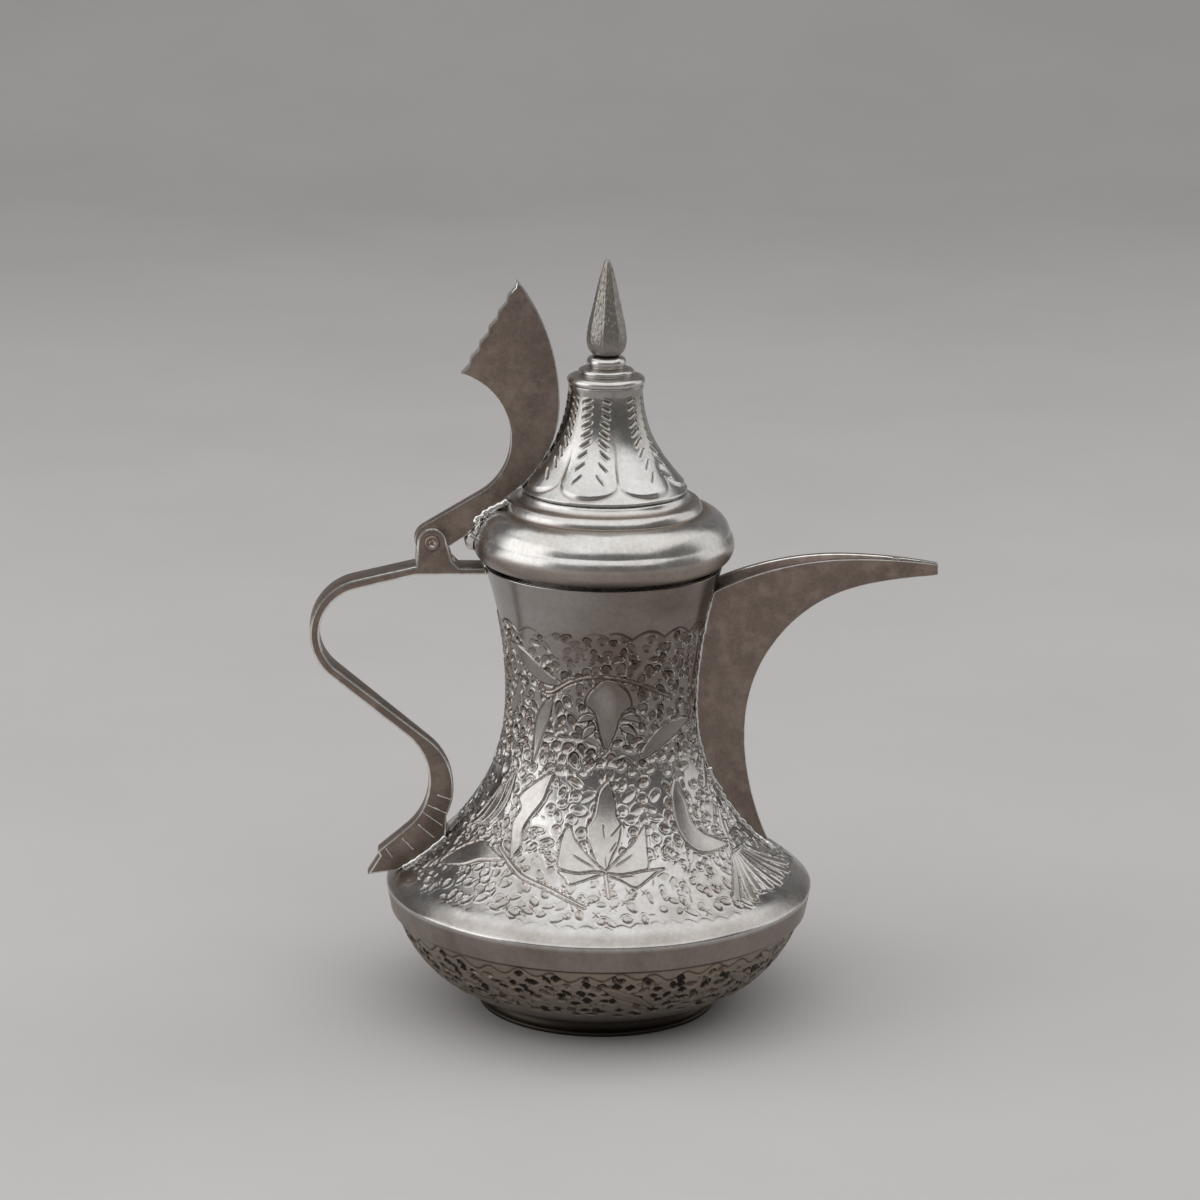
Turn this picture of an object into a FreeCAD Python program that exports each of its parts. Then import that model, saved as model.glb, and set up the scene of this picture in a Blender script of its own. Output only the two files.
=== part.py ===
import FreeCAD, Part
import os
import re
import Sketcher

# A small dallah, the beaked coffee pot, hammered from sheet metal and soldered together.
# Origin: centre of the foot ring on the table. Z is up, the spout points along +X and the
# handle along -X, so the hinge pin lies along Y. Millimetres.

DIMENSIONS = (
    # Waist shell: neck, waist and flared shoulder raised from one sheet.
    ("sheet", 1.0, "thickness of the raised sheet"),
    ("mouth_radius", 28.1, "outer radius of the mouth"),
    ("mouth_height", 108.0, "height of the mouth above the table"),
    ("waist_radius", 22.7, "outer radius of the waist"),
    ("waist_height", 75.5, "height of the waist"),
    ("belly_radius", 51.0, "radius of the belly edge, the widest ring"),
    ("belly_height", 30.0, "height of the belly edge"),
    ("rim_curve", 17.6, "radius with which the shoulder rounds over to the belly edge"),
    ("rim_slope", 40.2, "angle at which that rounding ends, degrees above level"),
    ("skirt_inset", 1.2, "how far the turned-down skirt draws in below the belly edge"),
    ("skirt_drop", 6.3, "height of the skirt"),
    ("seat_gap", 0.1, "room for solder between fixed pieces"),
    # Strainer holes behind the spout.
    ("strainer_holes", 5, "number of strainer holes"),
    ("strainer_radius", 2.1, "radius of a strainer hole"),
    ("strainer_pitch", 8.0, "distance between strainer holes"),
    ("strainer_height", 59.0, "height of the lowest strainer hole"),
    # Base bowl and foot ring.
    ("lip_rise", 3.8, "height of the bowl's lip inside the skirt"),
    ("bowl_bulge", 3.2, "bulge of the bowl's side over its chord"),
    ("floor_radius", 30.5, "radius of the bowl's flat floor"),
    ("floor_height", 4.4, "height of the floor's underside, where the foot ring is soldered"),
    ("foot_inset", 2.0, "how far the foot ring stands inside the floor's edge"),
    ("foot_edge", 0.9, "height of the foot ring's straight edge"),
    ("foot_waist", 1.2, "how far the foot ring draws in"),
    ("foot_width", 4.0, "width of the foot ring's resting face"),
    # Spout: a folded sheet beak, open on top.
    ("spout_sheet", 1.1, "thickness of the spout's sheet"),
    ("spout_fold", 0.8, "half width of the narrow front fold"),
    ("spout_belly", 11.7, "distance of the fold from the waist at the spout's belly"),
    ("spout_belly_drop", 40.0, "distance from the mouth down to the spout's belly"),
    ("spout_foot_inset", 4.2, "how far the spout's lower end lies inside the shoulder's rounding"),
    ("spout_foot_rise", 2.4, "height of the spout's lower end above the shoulder's rounding"),
    ("spout_foot_depth", 4.6, "depth of the folded sheet at its lower end"),
    ("spout_foot_half", 1.7, "half width of the lower end"),
    ("spout_curve", 35.5, "radius of the bend from the body to the beak"),
    ("spout_root_depth", 13.0, "depth of the folded sheet at the spout's belly"),
    ("spout_root_half", 5.9, "half width at the spout's belly"),
    ("spout_bend_angle", 145.0, "angle of the section in the bend, degrees"),
    ("spout_bend_depth", 24.0, "depth of the folded sheet in the bend"),
    ("spout_bend_half", 6.9, "half width in the bend"),
    ("spout_throat_angle", 118.0, "angle of the section where the beak begins, degrees"),
    ("spout_throat_depth", 16.0, "depth of the folded sheet where the beak begins"),
    ("spout_throat_half", 6.0, "half width where the beak begins"),
    ("spout_beak_angle", 98.0, "angle of the section along the beak, degrees"),
    ("spout_beak_depth", 9.0, "depth of the folded sheet along the beak"),
    ("spout_beak_half", 3.9, "half width along the beak"),
    ("spout_tip_reach", 9.7, "how far the beak's tip lies beyond the centre of the bend"),
    ("spout_tip_angle", 95.0, "angle of the section at the tip, degrees"),
    ("spout_tip_depth", 2.6, "depth of the folded sheet at the tip"),
    ("spout_tip_half", 1.3, "half width at the tip"),
    ("spout_top_drop", 4.6, "how far below the mouth the open edge meets the neck"),
    ("spout_top_rise", 1.5, "how far above the mouth the open edge runs at its highest"),
    ("spout_crest_reach", 22.6, "distance from the tip back to where the open edge is highest"),
    ("spout_top_fall", 1.9, "how far the open edge falls from its crest to the tip"),
    ("bridge_setback", 10.1, "distance from the tip back to the solder bridge"),
    ("bridge_radius", 1.0, "radius of the solder bridge"),
    ("bridge_sink", 0.7, "depth of the bridge's middle below the open edge"),
    # Handle: one S-shaped strap with two hinge ears.
    ("handle_width", 8.2, "width of the handle strap"),
    ("strap", 2.3, "thickness of the strap"),
    ("back_reach", 27.5, "distance of the back bend's centre beyond the mouth radius"),
    ("back_drop", 16.2, "height of the back bend's centre below the mouth"),
    ("back_radius", 13.4, "outer radius of the back bend"),
    ("run_slope", 13.0, "slope of the run from the ears to the back bend, degrees"),
    ("knee_hollow", 10.1, "how far the outer knee's hollow lies inside the belly radius"),
    ("knee_rise", 25.0, "height of the outer knee's centre above the belly edge"),
    ("knee_turn", 39.5, "lean of the leg's outer side between the bends, degrees"),
    ("shin_hollow", 16.0, "how far the inner knee's hollow lies inside the belly radius"),
    ("shin_rise", 23.3, "height of the inner knee's centre above the belly edge"),
    ("shin_turn", 46.3, "lean of the leg's inner side between the bends, degrees"),
    ("shin_end", 27.0, "angle at which the inner knee ends, degrees below level"),
    ("tail_start", 50.0, "angle at which the outer knee ends, degrees below level"),
    ("tail_corner", 2.2, "distance of the tail's upper corner beyond the belly"),
    ("tail_corner_rise", 7.7, "height of the tail's upper corner above the belly edge"),
    ("tail_notch", 1.2, "depth of the notch under the tail's upper corner"),
    ("tail_length", 4.6, "how far the tail's tip reaches beyond the belly"),
    ("tail_rise", 1.7, "height of the tail's tip above the belly edge"),
    ("tail_width", 4.3, "width of the knee and the tail"),
    ("taper_drop", 24.0, "distance below the mouth at which the strap starts to narrow"),
    ("taper_rise", 8.0, "height above the outer knee's centre at which it stops narrowing"),
    ("bar_drop", 2.0, "distance from the mouth down to the underside of the bar at the neck"),
    ("bar_thickness", 1.8, "thickness of the bar from the ears to the neck"),
    # Hinge.
    ("hinge_reach", 12.3, "distance of the hinge pin beyond the mouth radius"),
    ("hinge_rise", 5.8, "height of the hinge pin above the mouth"),
    ("ear_radius", 3.5, "radius of the ears round the pin"),
    ("ear_flare", 1.3, "how far the ears widen towards the bar"),
    ("ear_fillet", 1.6, "height of the slope from the ear to the bar"),
    ("pin_radius", 1.3, "radius of the hinge pin"),
    ("pin_press_gap", 0.02, "radial room of the pin in the ears"),
    ("pin_run_gap", 0.05, "radial room of the lever on the pin"),
    ("pin_head_radius", 1.8, "radius of the peened pin heads"),
    ("pin_head", 0.55, "height of a pin head"),
    ("pin_dish", 0.35, "depth of the dish in a pin head"),
    ("ear_gap", 0.15, "room between the lever and each ear"),
    ("slot_gap", 0.6, "room between the lever's knuckle and the slot floor"),
    # Thumb lever.
    ("lever_thickness", 3.4, "thickness of the lever"),
    ("knuckle_radius", 4.1, "radius of the lever's knuckle round the pin"),
    ("lever_slope", 30.5, "slope of the lever's heel, degrees"),
    ("lever_tip", 19.4, "distance from the pin to the lever's tip towards the spout"),
    ("lever_tip_rise", 61.6, "height of the lever's tip above the pin"),
    ("lever_room", 2.0, "distance of the lever's foremost edge from the width of the bell's top"),
    ("lever_front_rise", 32.6, "height of the lever's foremost edge above the pin"),
    ("lever_belly", 20.5, "distance from the pin to the lower end of the front curve"),
    ("lever_belly_rise", 12.9, "height of the lower end of the front curve above the pin"),
    ("lever_sole", 12.9, "distance from the pin to the lever's sole over the lid"),
    ("lever_sole_rise", 6.4, "height of the lever's sole above the pin"),
    ("lever_throat", 8.2, "distance from the pin to the end of the sole"),
    ("lever_throat_rise", 1.3, "height of the end of the sole above the pin"),
    ("lever_back", 18.3, "distance from the pin to the hollow of the lever's back"),
    ("lever_back_rise", 24.1, "height of the hollow of the lever's back above the pin"),
    ("lever_back_curve", 14.8, "radius of the back's lower hollow"),
    ("lever_spur", 6.7, "distance from the pin to the spur below the teeth"),
    ("lever_spur_rise", 39.7, "height of the spur above the pin"),
    ("teeth", 6, "number of crest teeth"),
    ("tooth_ledge", 0.88, "share of a tooth's run that its ledge takes"),
    ("tooth_lift", 0.56, "share of a tooth's rise that its ledge takes"),
    # Lid rim.
    ("lid_gap", 1.1, "gap between the mouth and the lid's edge"),
    ("lid_edge_reach", 0.2, "how far the lid's lower edge reaches beyond the mouth"),
    ("lid_reach", 2.6, "how far the lid's widest ring reaches beyond the mouth"),
    ("lid_widest_rise", 3.2, "height of the lid's widest ring above its edge"),
    ("lid_shoulder_reach", 1.7, "how far the lid's shoulder reaches beyond the mouth"),
    ("lid_shoulder_rise", 6.8, "height of the lid's shoulder above its edge"),
    ("dome_bulge", 1.0, "bulge of the dome over its chord"),
    ("dome_inset", 4.3, "how far the dome's top lies inside the mouth's radius"),
    ("dome_rise", 12.2, "height of the dome's top above the lid's edge"),
    ("ridge_inset", 0.6, "how far the ridge stands inside the dome's top"),
    ("ridge_height", 2.4, "height of the ridge"),
    ("band_inset", 3.7, "how far the band under the bell stands inside the ridge"),
    ("band_height", 1.9, "height of the band above the ridge"),
    ("crown_inset", 2.9, "width of the seat under the bell"),
    ("lid_sheet", 1.0, "thickness of the lid's sheet"),
    # Lid sleeve inside the mouth.
    ("sleeve_gap", 1.15, "radial room between the sleeve and the neck at the sleeve's end"),
    ("sleeve_depth", 4.0, "how far the sleeve reaches into the neck"),
    ("sleeve_sheet", 0.9, "thickness of the sleeve"),
    # Bell, collar, finial and its washer.
    ("bell_inset", 0.1, "how far the bell's foot stands inside the band"),
    ("bell_foot_height", 1.4, "height of the bell's rounded foot"),
    ("bell_height", 25.6, "height of the bell"),
    ("bell_top_radius", 8.8, "radius of the bell's top"),
    ("bell_sheet", 0.9, "thickness of the bell's sheet"),
    ("collar_reach", 0.3, "how far the collar's lowest ring bulges beyond the bell's top"),
    ("collar_ring", 1.8, "height of the collar's lowest ring"),
    ("collar_disc_radius", 6.2, "radius of the collar's middle disc"),
    ("collar_disc_height", 3.5, "height of the middle disc's top above the bell"),
    ("collar_knob_radius", 4.4, "radius of the collar's upper ring"),
    ("collar_height", 6.3, "height of the collar"),
    ("tenon_radius", 1.5, "radius of the finial's tenon"),
    ("tenon_gap", 0.1, "radial room of the tenon"),
    ("tenon_tail", 0.6, "length of tenon peened below the washer"),
    ("spike_sides", 8, "number of facets of the finial"),
    ("spike_neck_radius", 2.8, "radius of the finial's neck"),
    ("spike_radius", 4.7, "largest radius of the finial"),
    ("spike_widest", 4.0, "height of the finial's widest ring above its neck"),
    ("spike_height", 22.8, "height of the finial above its neck"),
    ("spike_tip_radius", 0.5, "radius of the finial's blunt tip"),
    ("spike_bulge", 0.45, "outward curve of the spike halfway up"),
    ("washer_radius", 5.0, "radius of the washer inside the bell"),
    ("washer_thickness", 0.9, "thickness of the washer"),
    # Solder joint between the lever and the lid.
    ("solder_width", 6.0, "width of the solder joint"),
    ("solder_drop", 5.5, "height of the solder joint on the lid's side"),
)

DERIVED = (
    ("neck_curve", "((mouth_radius - waist_radius)^2 + (mouth_height - waist_height)^2)"
                   " / (2 * (mouth_radius - waist_radius))"),
    ("rim_centre", "belly_radius - rim_curve * cos(rim_slope)"),
    ("rim_centre_height", "belly_height - rim_curve * sin(rim_slope)"),
    ("flare_curve", "((rim_centre - waist_radius)^2 + (waist_height - rim_centre_height)^2 - rim_curve^2)"
                    " / (2 * (rim_curve + rim_centre - waist_radius))"),
    ("flare_angle", "asin((waist_height - rim_centre_height) / (flare_curve + rim_curve)) / (1 deg)"),
    ("rim_radius", "rim_centre + rim_curve * cos(flare_angle)"),
    ("rim_height", "rim_centre_height + rim_curve * sin(flare_angle)"),
    ("skirt_radius", "belly_radius - skirt_inset"),
    ("skirt_height", "belly_height - skirt_drop"),
    ("lip_radius", "skirt_radius - sheet - seat_gap"),
    ("bowl_chord", "sqrt((lip_radius - floor_radius)^2 + (skirt_height - floor_height)^2)"),
    ("bowl_curve", "(bowl_chord^2 / 4 + bowl_bulge^2) / (2 * bowl_bulge)"),
    ("bowl_centre", "(lip_radius + floor_radius) / 2"
                    " - (bowl_curve - bowl_bulge) * (skirt_height - floor_height) / bowl_chord"),
    ("bowl_centre_height", "(skirt_height + floor_height) / 2"
                           " + (bowl_curve - bowl_bulge) * (lip_radius - floor_radius) / bowl_chord"),
    ("bowl_top_angle", "atan2(skirt_height - bowl_centre_height; lip_radius - bowl_centre) / (1 deg)"),
    ("foot_radius", "floor_radius - foot_inset"),
    ("spout_front", "waist_radius + spout_belly"),
    ("spout_front_height", "mouth_height - spout_belly_drop"),
    ("spout_foot", "rim_radius - spout_foot_inset"),
    ("spout_foot_height", "rim_height + spout_foot_rise"),
    ("spout_tip", "spout_front + spout_curve + spout_tip_reach"),
    ("spout_crest", "mouth_height + spout_top_rise"),
    ("spout_crest_x", "spout_tip - spout_crest_reach"),
    ("spout_tip_height", "spout_crest - spout_top_fall - spout_tip_depth"),
    ("spout_shin", "((spout_foot - spout_front)^2 + (spout_front_height - spout_foot_height)^2)"
                   " / (2 * (spout_foot - spout_front))"),
    ("spout_shin_angle", "asin((spout_front_height - spout_foot_height) / spout_shin) / (1 deg)"),
    ("back_x", "-(mouth_radius + back_reach)"),
    ("back_height", "mouth_height - back_drop"),
    ("knee_height", "belly_height + knee_rise"),
    ("knee_radius", "(back_height - knee_height) * cos(knee_turn) - back_radius"),
    ("knee_x", "-(belly_radius - knee_hollow + knee_radius)"),
    ("shin_height", "belly_height + shin_rise"),
    ("shin_radius", "(back_height - shin_height) * cos(shin_turn) - (back_radius - strap)"),
    ("shin_x", "-(belly_radius - shin_hollow + shin_radius)"),
    ("leg_outer", "(atan2(back_x - knee_x; back_height - knee_height)"
                  " + acos((back_radius + knee_radius)"
                  " / sqrt((back_x - knee_x)^2 + (back_height - knee_height)^2))) / (1 deg)"),
    ("leg_inner", "(atan2(back_x - shin_x; back_height - shin_height)"
                  " + acos((back_radius - strap + shin_radius)"
                  " / sqrt((back_x - shin_x)^2 + (back_height - shin_height)^2))) / (1 deg)"),
    ("hinge_x", "-(mouth_radius + hinge_reach)"),
    ("hinge_height", "mouth_height + hinge_rise"),
    ("ear_back", "hinge_x - ear_radius"),
    ("bar_top", "mouth_height - bar_drop + bar_thickness"),
    ("slot_floor", "hinge_height - knuckle_radius - slot_gap"),
    ("lever_front", "-hinge_x - bell_top_radius - lever_room"),
    ("lever_front_upper", "((lever_front - lever_tip)^2 + (lever_tip_rise - lever_front_rise)^2)"
                          " / (2 * (lever_front - lever_tip))"),
    ("lever_front_lower", "((lever_front - lever_belly)^2 + (lever_front_rise - lever_belly_rise)^2)"
                          " / (2 * (lever_front - lever_belly))"),
    ("lever_back_upper", "((lever_back - lever_spur)^2 + (lever_spur_rise - lever_back_rise)^2)"
                         " / (2 * (lever_back - lever_spur))"),
    ("lid_edge", "mouth_height + lid_gap"),
    ("lid_edge_radius", "mouth_radius + lid_edge_reach"),
    ("lid_radius", "mouth_radius + lid_reach"),
    ("lid_shoulder_radius", "mouth_radius + lid_shoulder_reach"),
    ("dome_radius", "mouth_radius - dome_inset"),
    ("ridge_radius", "dome_radius - ridge_inset"),
    ("band_radius", "ridge_radius - band_inset"),
    ("crown_radius", "band_radius - crown_inset"),
    ("bell_foot_radius", "band_radius - bell_inset"),
    ("collar_radius", "bell_top_radius + collar_reach"),
    ("lid_shoulder", "lid_edge + lid_shoulder_rise"),
    ("dome_top", "lid_edge + dome_rise"),
    ("ridge_top", "dome_top + ridge_height"),
    ("bell_seat", "ridge_top + band_height"),
    ("bell_top", "bell_seat + bell_height"),
    ("bell_curve", "((bell_foot_radius - bell_top_radius)^2 + (bell_height - bell_foot_height)^2)"
                   " / (2 * (bell_foot_radius - bell_top_radius))"),
    ("collar_top", "bell_top + collar_height"),
    ("sleeve_end", "mouth_height - sleeve_depth"),
    ("sleeve_radius", "waist_radius - sheet + neck_curve + sheet - sleeve_gap"
                      " - sqrt((neck_curve + sheet)^2 - (sleeve_end - waist_height)^2)"),
)

document = FreeCAD.newDocument("dallah")
sheet = document.addObject("Spreadsheet::Sheet", "dims")
for row, (alias, value, meaning) in enumerate(DIMENSIONS, 1):
    sheet.set(f"A{row}", meaning)
    sheet.set(f"B{row}", str(value))
    sheet.setAlias(f"B{row}", alias)
for row, (alias, formula) in enumerate(DERIVED, len(DIMENSIONS) + 1):
    sheet.set(f"A{row}", "worked out")
    sheet.set(f"B{row}", "=" + formula)
    sheet.setAlias(f"B{row}", alias)
document.recompute()

ALIASES = {entry[0] for entry in DIMENSIONS} | {entry[0] for entry in DERIVED}
UP = FreeCAD.Vector(0, 0, 1)
ORIGIN = FreeCAD.Vector(0, 0, 0)


def bound(text):
    """The expression with every alias pointing at the sheet."""
    return re.sub(r"[a-z_]+", lambda m: "dims." + m.group() if m.group() in ALIASES else m.group(), text)


def size(text):
    """The present value of an expression of sheet sizes."""
    return float(sheet.evalExpression(bound(text)))


def on_circle(centre, radius, angle):
    """The point of a circle at an angle in degrees, as a pair of expressions."""
    return (f"{centre[0]} + ({radius}) * cos({angle})", f"{centre[1]} + ({radius}) * sin({angle})")


def arc(centre, radius, start, end):
    """The outline step that follows a circle from one angle to another."""
    return (on_circle(centre, radius, f"(({start}) + ({end})) / 2"), on_circle(centre, radius, end))


def corner(step):
    """The point at which an outline step ends; an arc step is a (middle, end) pair."""
    return step if isinstance(step[0], str) else step[1]


def place(point):
    """A point of an outline in the plane of its sketch."""
    return FreeCAD.Vector(size(point[0]), size(point[1]), 0)


def origin_plane(body, role):
    """One of the body's own origin planes."""
    return next(item for item in body.Origin.OriginFeatures if item.Role == role)


def new_sketch(body, name, role):
    """An empty sketch on one of the body's own planes."""
    sketch = body.newObject("Sketcher::SketchObject", name)
    sketch.AttachmentSupport = [(origin_plane(body, role), "")]
    sketch.MapMode = "FlatFace"
    return sketch


def tie(sketch, geometry, position, point):
    """Ties a point of a sketch to a pair of sheet expressions."""
    for kind, text in zip(("DistanceX", "DistanceY"), point):
        index = sketch.addConstraint(Sketcher.Constraint(kind, -1, 1, geometry, position, size(text)))
        sketch.setExpression(f"Constraints[{index}]", bound(text))


def draw(body, name, outline, role="XZ_Plane"):
    """Draws a closed outline; the first step leads from the last corner to the first."""
    sketch = new_sketch(body, name, role)
    edges = []
    for index, step in enumerate(outline):
        begin = place(corner(outline[index - 1]))
        end = place(corner(step))
        if isinstance(step[0], str):
            edges.append((sketch.addGeometry(Part.LineSegment(begin, end), False), 1, 2))
            continue
        middle = place(step[0])
        edge = sketch.addGeometry(Part.Arc(begin, middle, end), False)
        away = [sketch.getPoint(edge, position).distanceToPoint(begin) for position in (1, 2)]
        edges.append((edge, 1, 2) if away[0] < away[1] else (edge, 2, 1))
        mark = sketch.addGeometry(Part.Point(middle), True)
        sketch.addConstraint(Sketcher.Constraint("PointOnObject", mark, 1, edge))
        tie(sketch, mark, 1, step[0])
    for index, step in enumerate(outline):
        edge, begin, end = edges[index]
        following, next_begin, next_end = edges[(index + 1) % len(edges)]
        sketch.addConstraint(Sketcher.Constraint("Coincident", edge, end, following, next_begin))
        tie(sketch, edge, end, corner(step))
    return sketch


def draw_circle(body, name, centre, radius, role="XZ_Plane"):
    """Draws a circle tied to the sheet."""
    sketch = new_sketch(body, name, role)
    ring = sketch.addGeometry(Part.Circle(place(centre), UP, size(radius)), False)
    tie(sketch, ring, 3, centre)
    index = sketch.addConstraint(Sketcher.Constraint("Radius", ring, size(radius)))
    sketch.setExpression(f"Constraints[{index}]", bound(radius))
    return sketch


def new_body(name):
    """A body whose label is the piece's name."""
    body = document.addObject("PartDesign::Body", name)
    body.Label = name
    return body


def turned(name, outline):
    """A piece turned about the pot's axis."""
    body = new_body(name)
    turn = body.newObject("PartDesign::Revolution", name + "_turn")
    turn.Profile = draw(body, name + "_profile", outline)
    turn.ReferenceAxis = (turn.Profile[0], ["V_Axis"])
    turn.Angle = 360
    body.Tip = turn
    return body


def plate(name, outline, width):
    """A piece of even width, cut to an outline seen from the side."""
    body = new_body(name)
    pad = body.newObject("PartDesign::Pad", name + "_plate")
    pad.Profile = draw(body, name + "_outline", outline)
    pad.SideType = "Symmetric"
    pad.setExpression("Length", bound(width))
    body.Tip = pad
    return body


def trim_round(body, name, outline):
    """Cuts away a turned shape."""
    groove = body.newObject("PartDesign::Groove", name)
    groove.Profile = draw(body, name + "_profile", outline)
    groove.ReferenceAxis = (groove.Profile[0], ["V_Axis"])
    groove.Angle = 360
    body.Tip = groove


def cut_through(body, name, sketch, width):
    """Cuts a sketched shape evenly to both sides of its plane."""
    pocket = body.newObject("PartDesign::Pocket", name)
    pocket.Profile = sketch
    pocket.SideType = "Symmetric"
    pocket.setExpression("Length", bound(width))
    body.Tip = pocket


def flat(outline):
    """The outline as a plain face in the pot's side plane."""
    edges = []
    for index, step in enumerate(outline):
        begin, end = (FreeCAD.Vector(point.x, 0, point.y)
                      for point in (place(corner(outline[index - 1])), place(corner(step))))
        if isinstance(step[0], str):
            edges.append(Part.LineSegment(begin, end).toShape())
        else:
            middle = place(step[0])
            edges.append(Part.Arc(begin, FreeCAD.Vector(middle.x, 0, middle.y), end).toShape())
    return Part.Face(Part.Wire(edges))


NECK_CENTRE = ("waist_radius + neck_curve", "waist_height")
FLARE_CENTRE = ("waist_radius + flare_curve", "waist_height")
RIM_CENTRE = ("rim_centre", "rim_centre_height")
BOWL_CENTRE = ("bowl_centre", "bowl_centre_height")


def mouth_angle(radius):
    """The angle at which a circle round the neck's centre reaches the mouth's height."""
    return f"180 - asin((mouth_height - waist_height) / ({radius})) / (1 deg)"


def pot_side(gap):
    """The pot's outer side down to the belly edge, filled to the axis and grown by a gap."""
    neck = f"neck_curve - {gap}"
    flare = f"flare_curve - {gap}"
    rim = f"rim_curve + {gap}"
    return [
        ("0", "mouth_height"),
        on_circle(NECK_CENTRE, neck, mouth_angle(neck)),
        arc(NECK_CENTRE, neck, mouth_angle(neck), "180"),
        arc(FLARE_CENTRE, flare, "180", "180 + flare_angle"),
        arc(RIM_CENTRE, rim, "flare_angle", "rim_slope"),
        (f"belly_radius + {gap}", "belly_height - sheet"),
        ("0", "belly_height - sheet"),
    ]


def waist_shell():
    """Neck, waist, flared shoulder and turned-down skirt of one sheet, pierced behind the spout."""
    neck = "neck_curve + sheet"
    flare = "flare_curve + sheet"
    rim = "rim_curve - sheet"
    body = turned("waist_shell", [
        ("mouth_radius", "mouth_height"),
        arc(NECK_CENTRE, "neck_curve", mouth_angle("neck_curve"), "180"),
        arc(FLARE_CENTRE, "flare_curve", "180", "180 + flare_angle"),
        arc(RIM_CENTRE, "rim_curve", "flare_angle", "rim_slope"),
        ("skirt_radius", "skirt_height"),
        ("skirt_radius - sheet", "skirt_height"),
        on_circle(RIM_CENTRE, rim, "rim_slope"),
        arc(RIM_CENTRE, rim, "rim_slope", "flare_angle"),
        arc(FLARE_CENTRE, flare, "180 + flare_angle", "180"),
        arc(NECK_CENTRE, neck, "180", mouth_angle(neck)),
    ])
    hole = body.newObject("PartDesign::Pocket", "strainer_hole")
    lowest = ("0", "strainer_height")
    hole.Profile = draw_circle(body, "strainer_circle", lowest, "strainer_radius", "YZ_Plane")
    hole.Type = "Length"
    hole.Reversed = True
    hole.setExpression("Length", bound("belly_radius"))
    body.Tip = hole
    column = body.newObject("PartDesign::LinearPattern", "strainer_column")
    column.Originals = [hole]
    column.Direction = (hole.Profile[0], ["V_Axis"])
    column.setExpression("Occurrences", bound("strainer_holes"))
    column.setExpression("Length", bound("(strainer_holes - 1) * strainer_pitch"))
    body.Tip = column
    return body


def base_bowl():
    """Shallow bowl whose lip stands inside the skirt."""
    inner = "bowl_curve - sheet"
    outer_floor = "asin((floor_height - bowl_centre_height) / bowl_curve) / (1 deg)"
    inner_floor = f"asin((floor_height + sheet - bowl_centre_height) / ({inner})) / (1 deg)"
    return turned("base_bowl", [
        ("0", "floor_height"),
        ("floor_radius", "floor_height"),
        arc(BOWL_CENTRE, "bowl_curve", outer_floor, "bowl_top_angle"),
        ("lip_radius", "skirt_height + lip_rise"),
        ("lip_radius - sheet", "skirt_height + lip_rise"),
        on_circle(BOWL_CENTRE, inner, "bowl_top_angle"),
        arc(BOWL_CENTRE, inner, "bowl_top_angle", inner_floor),
        ("0", "floor_height + sheet"),
    ])


def foot_ring():
    """Drawn-in ring on which the pot stands."""
    return turned("foot_ring", [
        ("foot_radius - foot_width", "0"),
        ("foot_radius", "0"),
        ("foot_radius", "foot_edge"),
        (("foot_radius - foot_waist", "(foot_edge + floor_height) / 2"),
         ("foot_radius - foot_waist / 2", "floor_height")),
        ("foot_radius - foot_width", "floor_height"),
    ])


def spout_section(centre, radius, angle, depth, half, fold):
    """A V of folded sheet across the spout: narrow at the fold, wide where it opens."""
    fold_x, fold_z = (size(text) for text in on_circle(centre, radius, angle))
    open_x, open_z = (size(text) for text in on_circle(centre, f"({radius}) + ({depth})", angle))
    fold = size(fold)
    half = size(half)
    corners = [FreeCAD.Vector(fold_x, -fold, fold_z), FreeCAD.Vector(open_x, -half, open_z),
               FreeCAD.Vector(open_x, half, open_z), FreeCAD.Vector(fold_x, fold, fold_z)]
    return Part.makePolygon(corners + corners[:1])


def spout_stations():
    """Sections from the spout's foot to its tip: circle, angle, depth and half width."""
    shin = ("spout_front + spout_shin", "spout_front_height")
    bend = ("spout_front + spout_curve", "spout_front_height")
    tip = ("spout_tip", "spout_tip_height")
    return [
        (shin, "spout_shin", "180 + spout_shin_angle", "spout_foot_depth", "spout_foot_half"),
        (shin, "spout_shin", "180 + spout_shin_angle / 2", "(spout_foot_depth + spout_root_depth) / 2",
         "(spout_foot_half + spout_root_half) / 2"),
        (bend, "spout_curve", "180", "spout_root_depth", "spout_root_half"),
        (bend, "spout_curve", "spout_bend_angle", "spout_bend_depth", "spout_bend_half"),
        (bend, "spout_curve", "spout_throat_angle", "spout_throat_depth", "spout_throat_half"),
        (bend, "spout_curve", "spout_beak_angle", "spout_beak_depth", "spout_beak_half"),
        (tip, "0", "spout_tip_angle", "spout_tip_depth", "spout_tip_half"),
    ]


def spout_lofts(room):
    """The folded spout as a filled V, and its channel drawn in by some room on every side."""
    outer = []
    inner = []
    for centre, radius, angle, depth, half in spout_stations():
        outer.append(spout_section(centre, radius, angle, depth, half, "spout_fold"))
        inner.append(spout_section(centre, f"({radius}) + 1.6 * spout_sheet + {room}", angle,
                                   f"({depth}) + spout_sheet", f"({half}) - 0.9 * spout_sheet - {room}",
                                   "spout_fold / 3"))
    return Part.makeLoft(outer, True, False), Part.makeLoft(inner, True, False)


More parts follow.
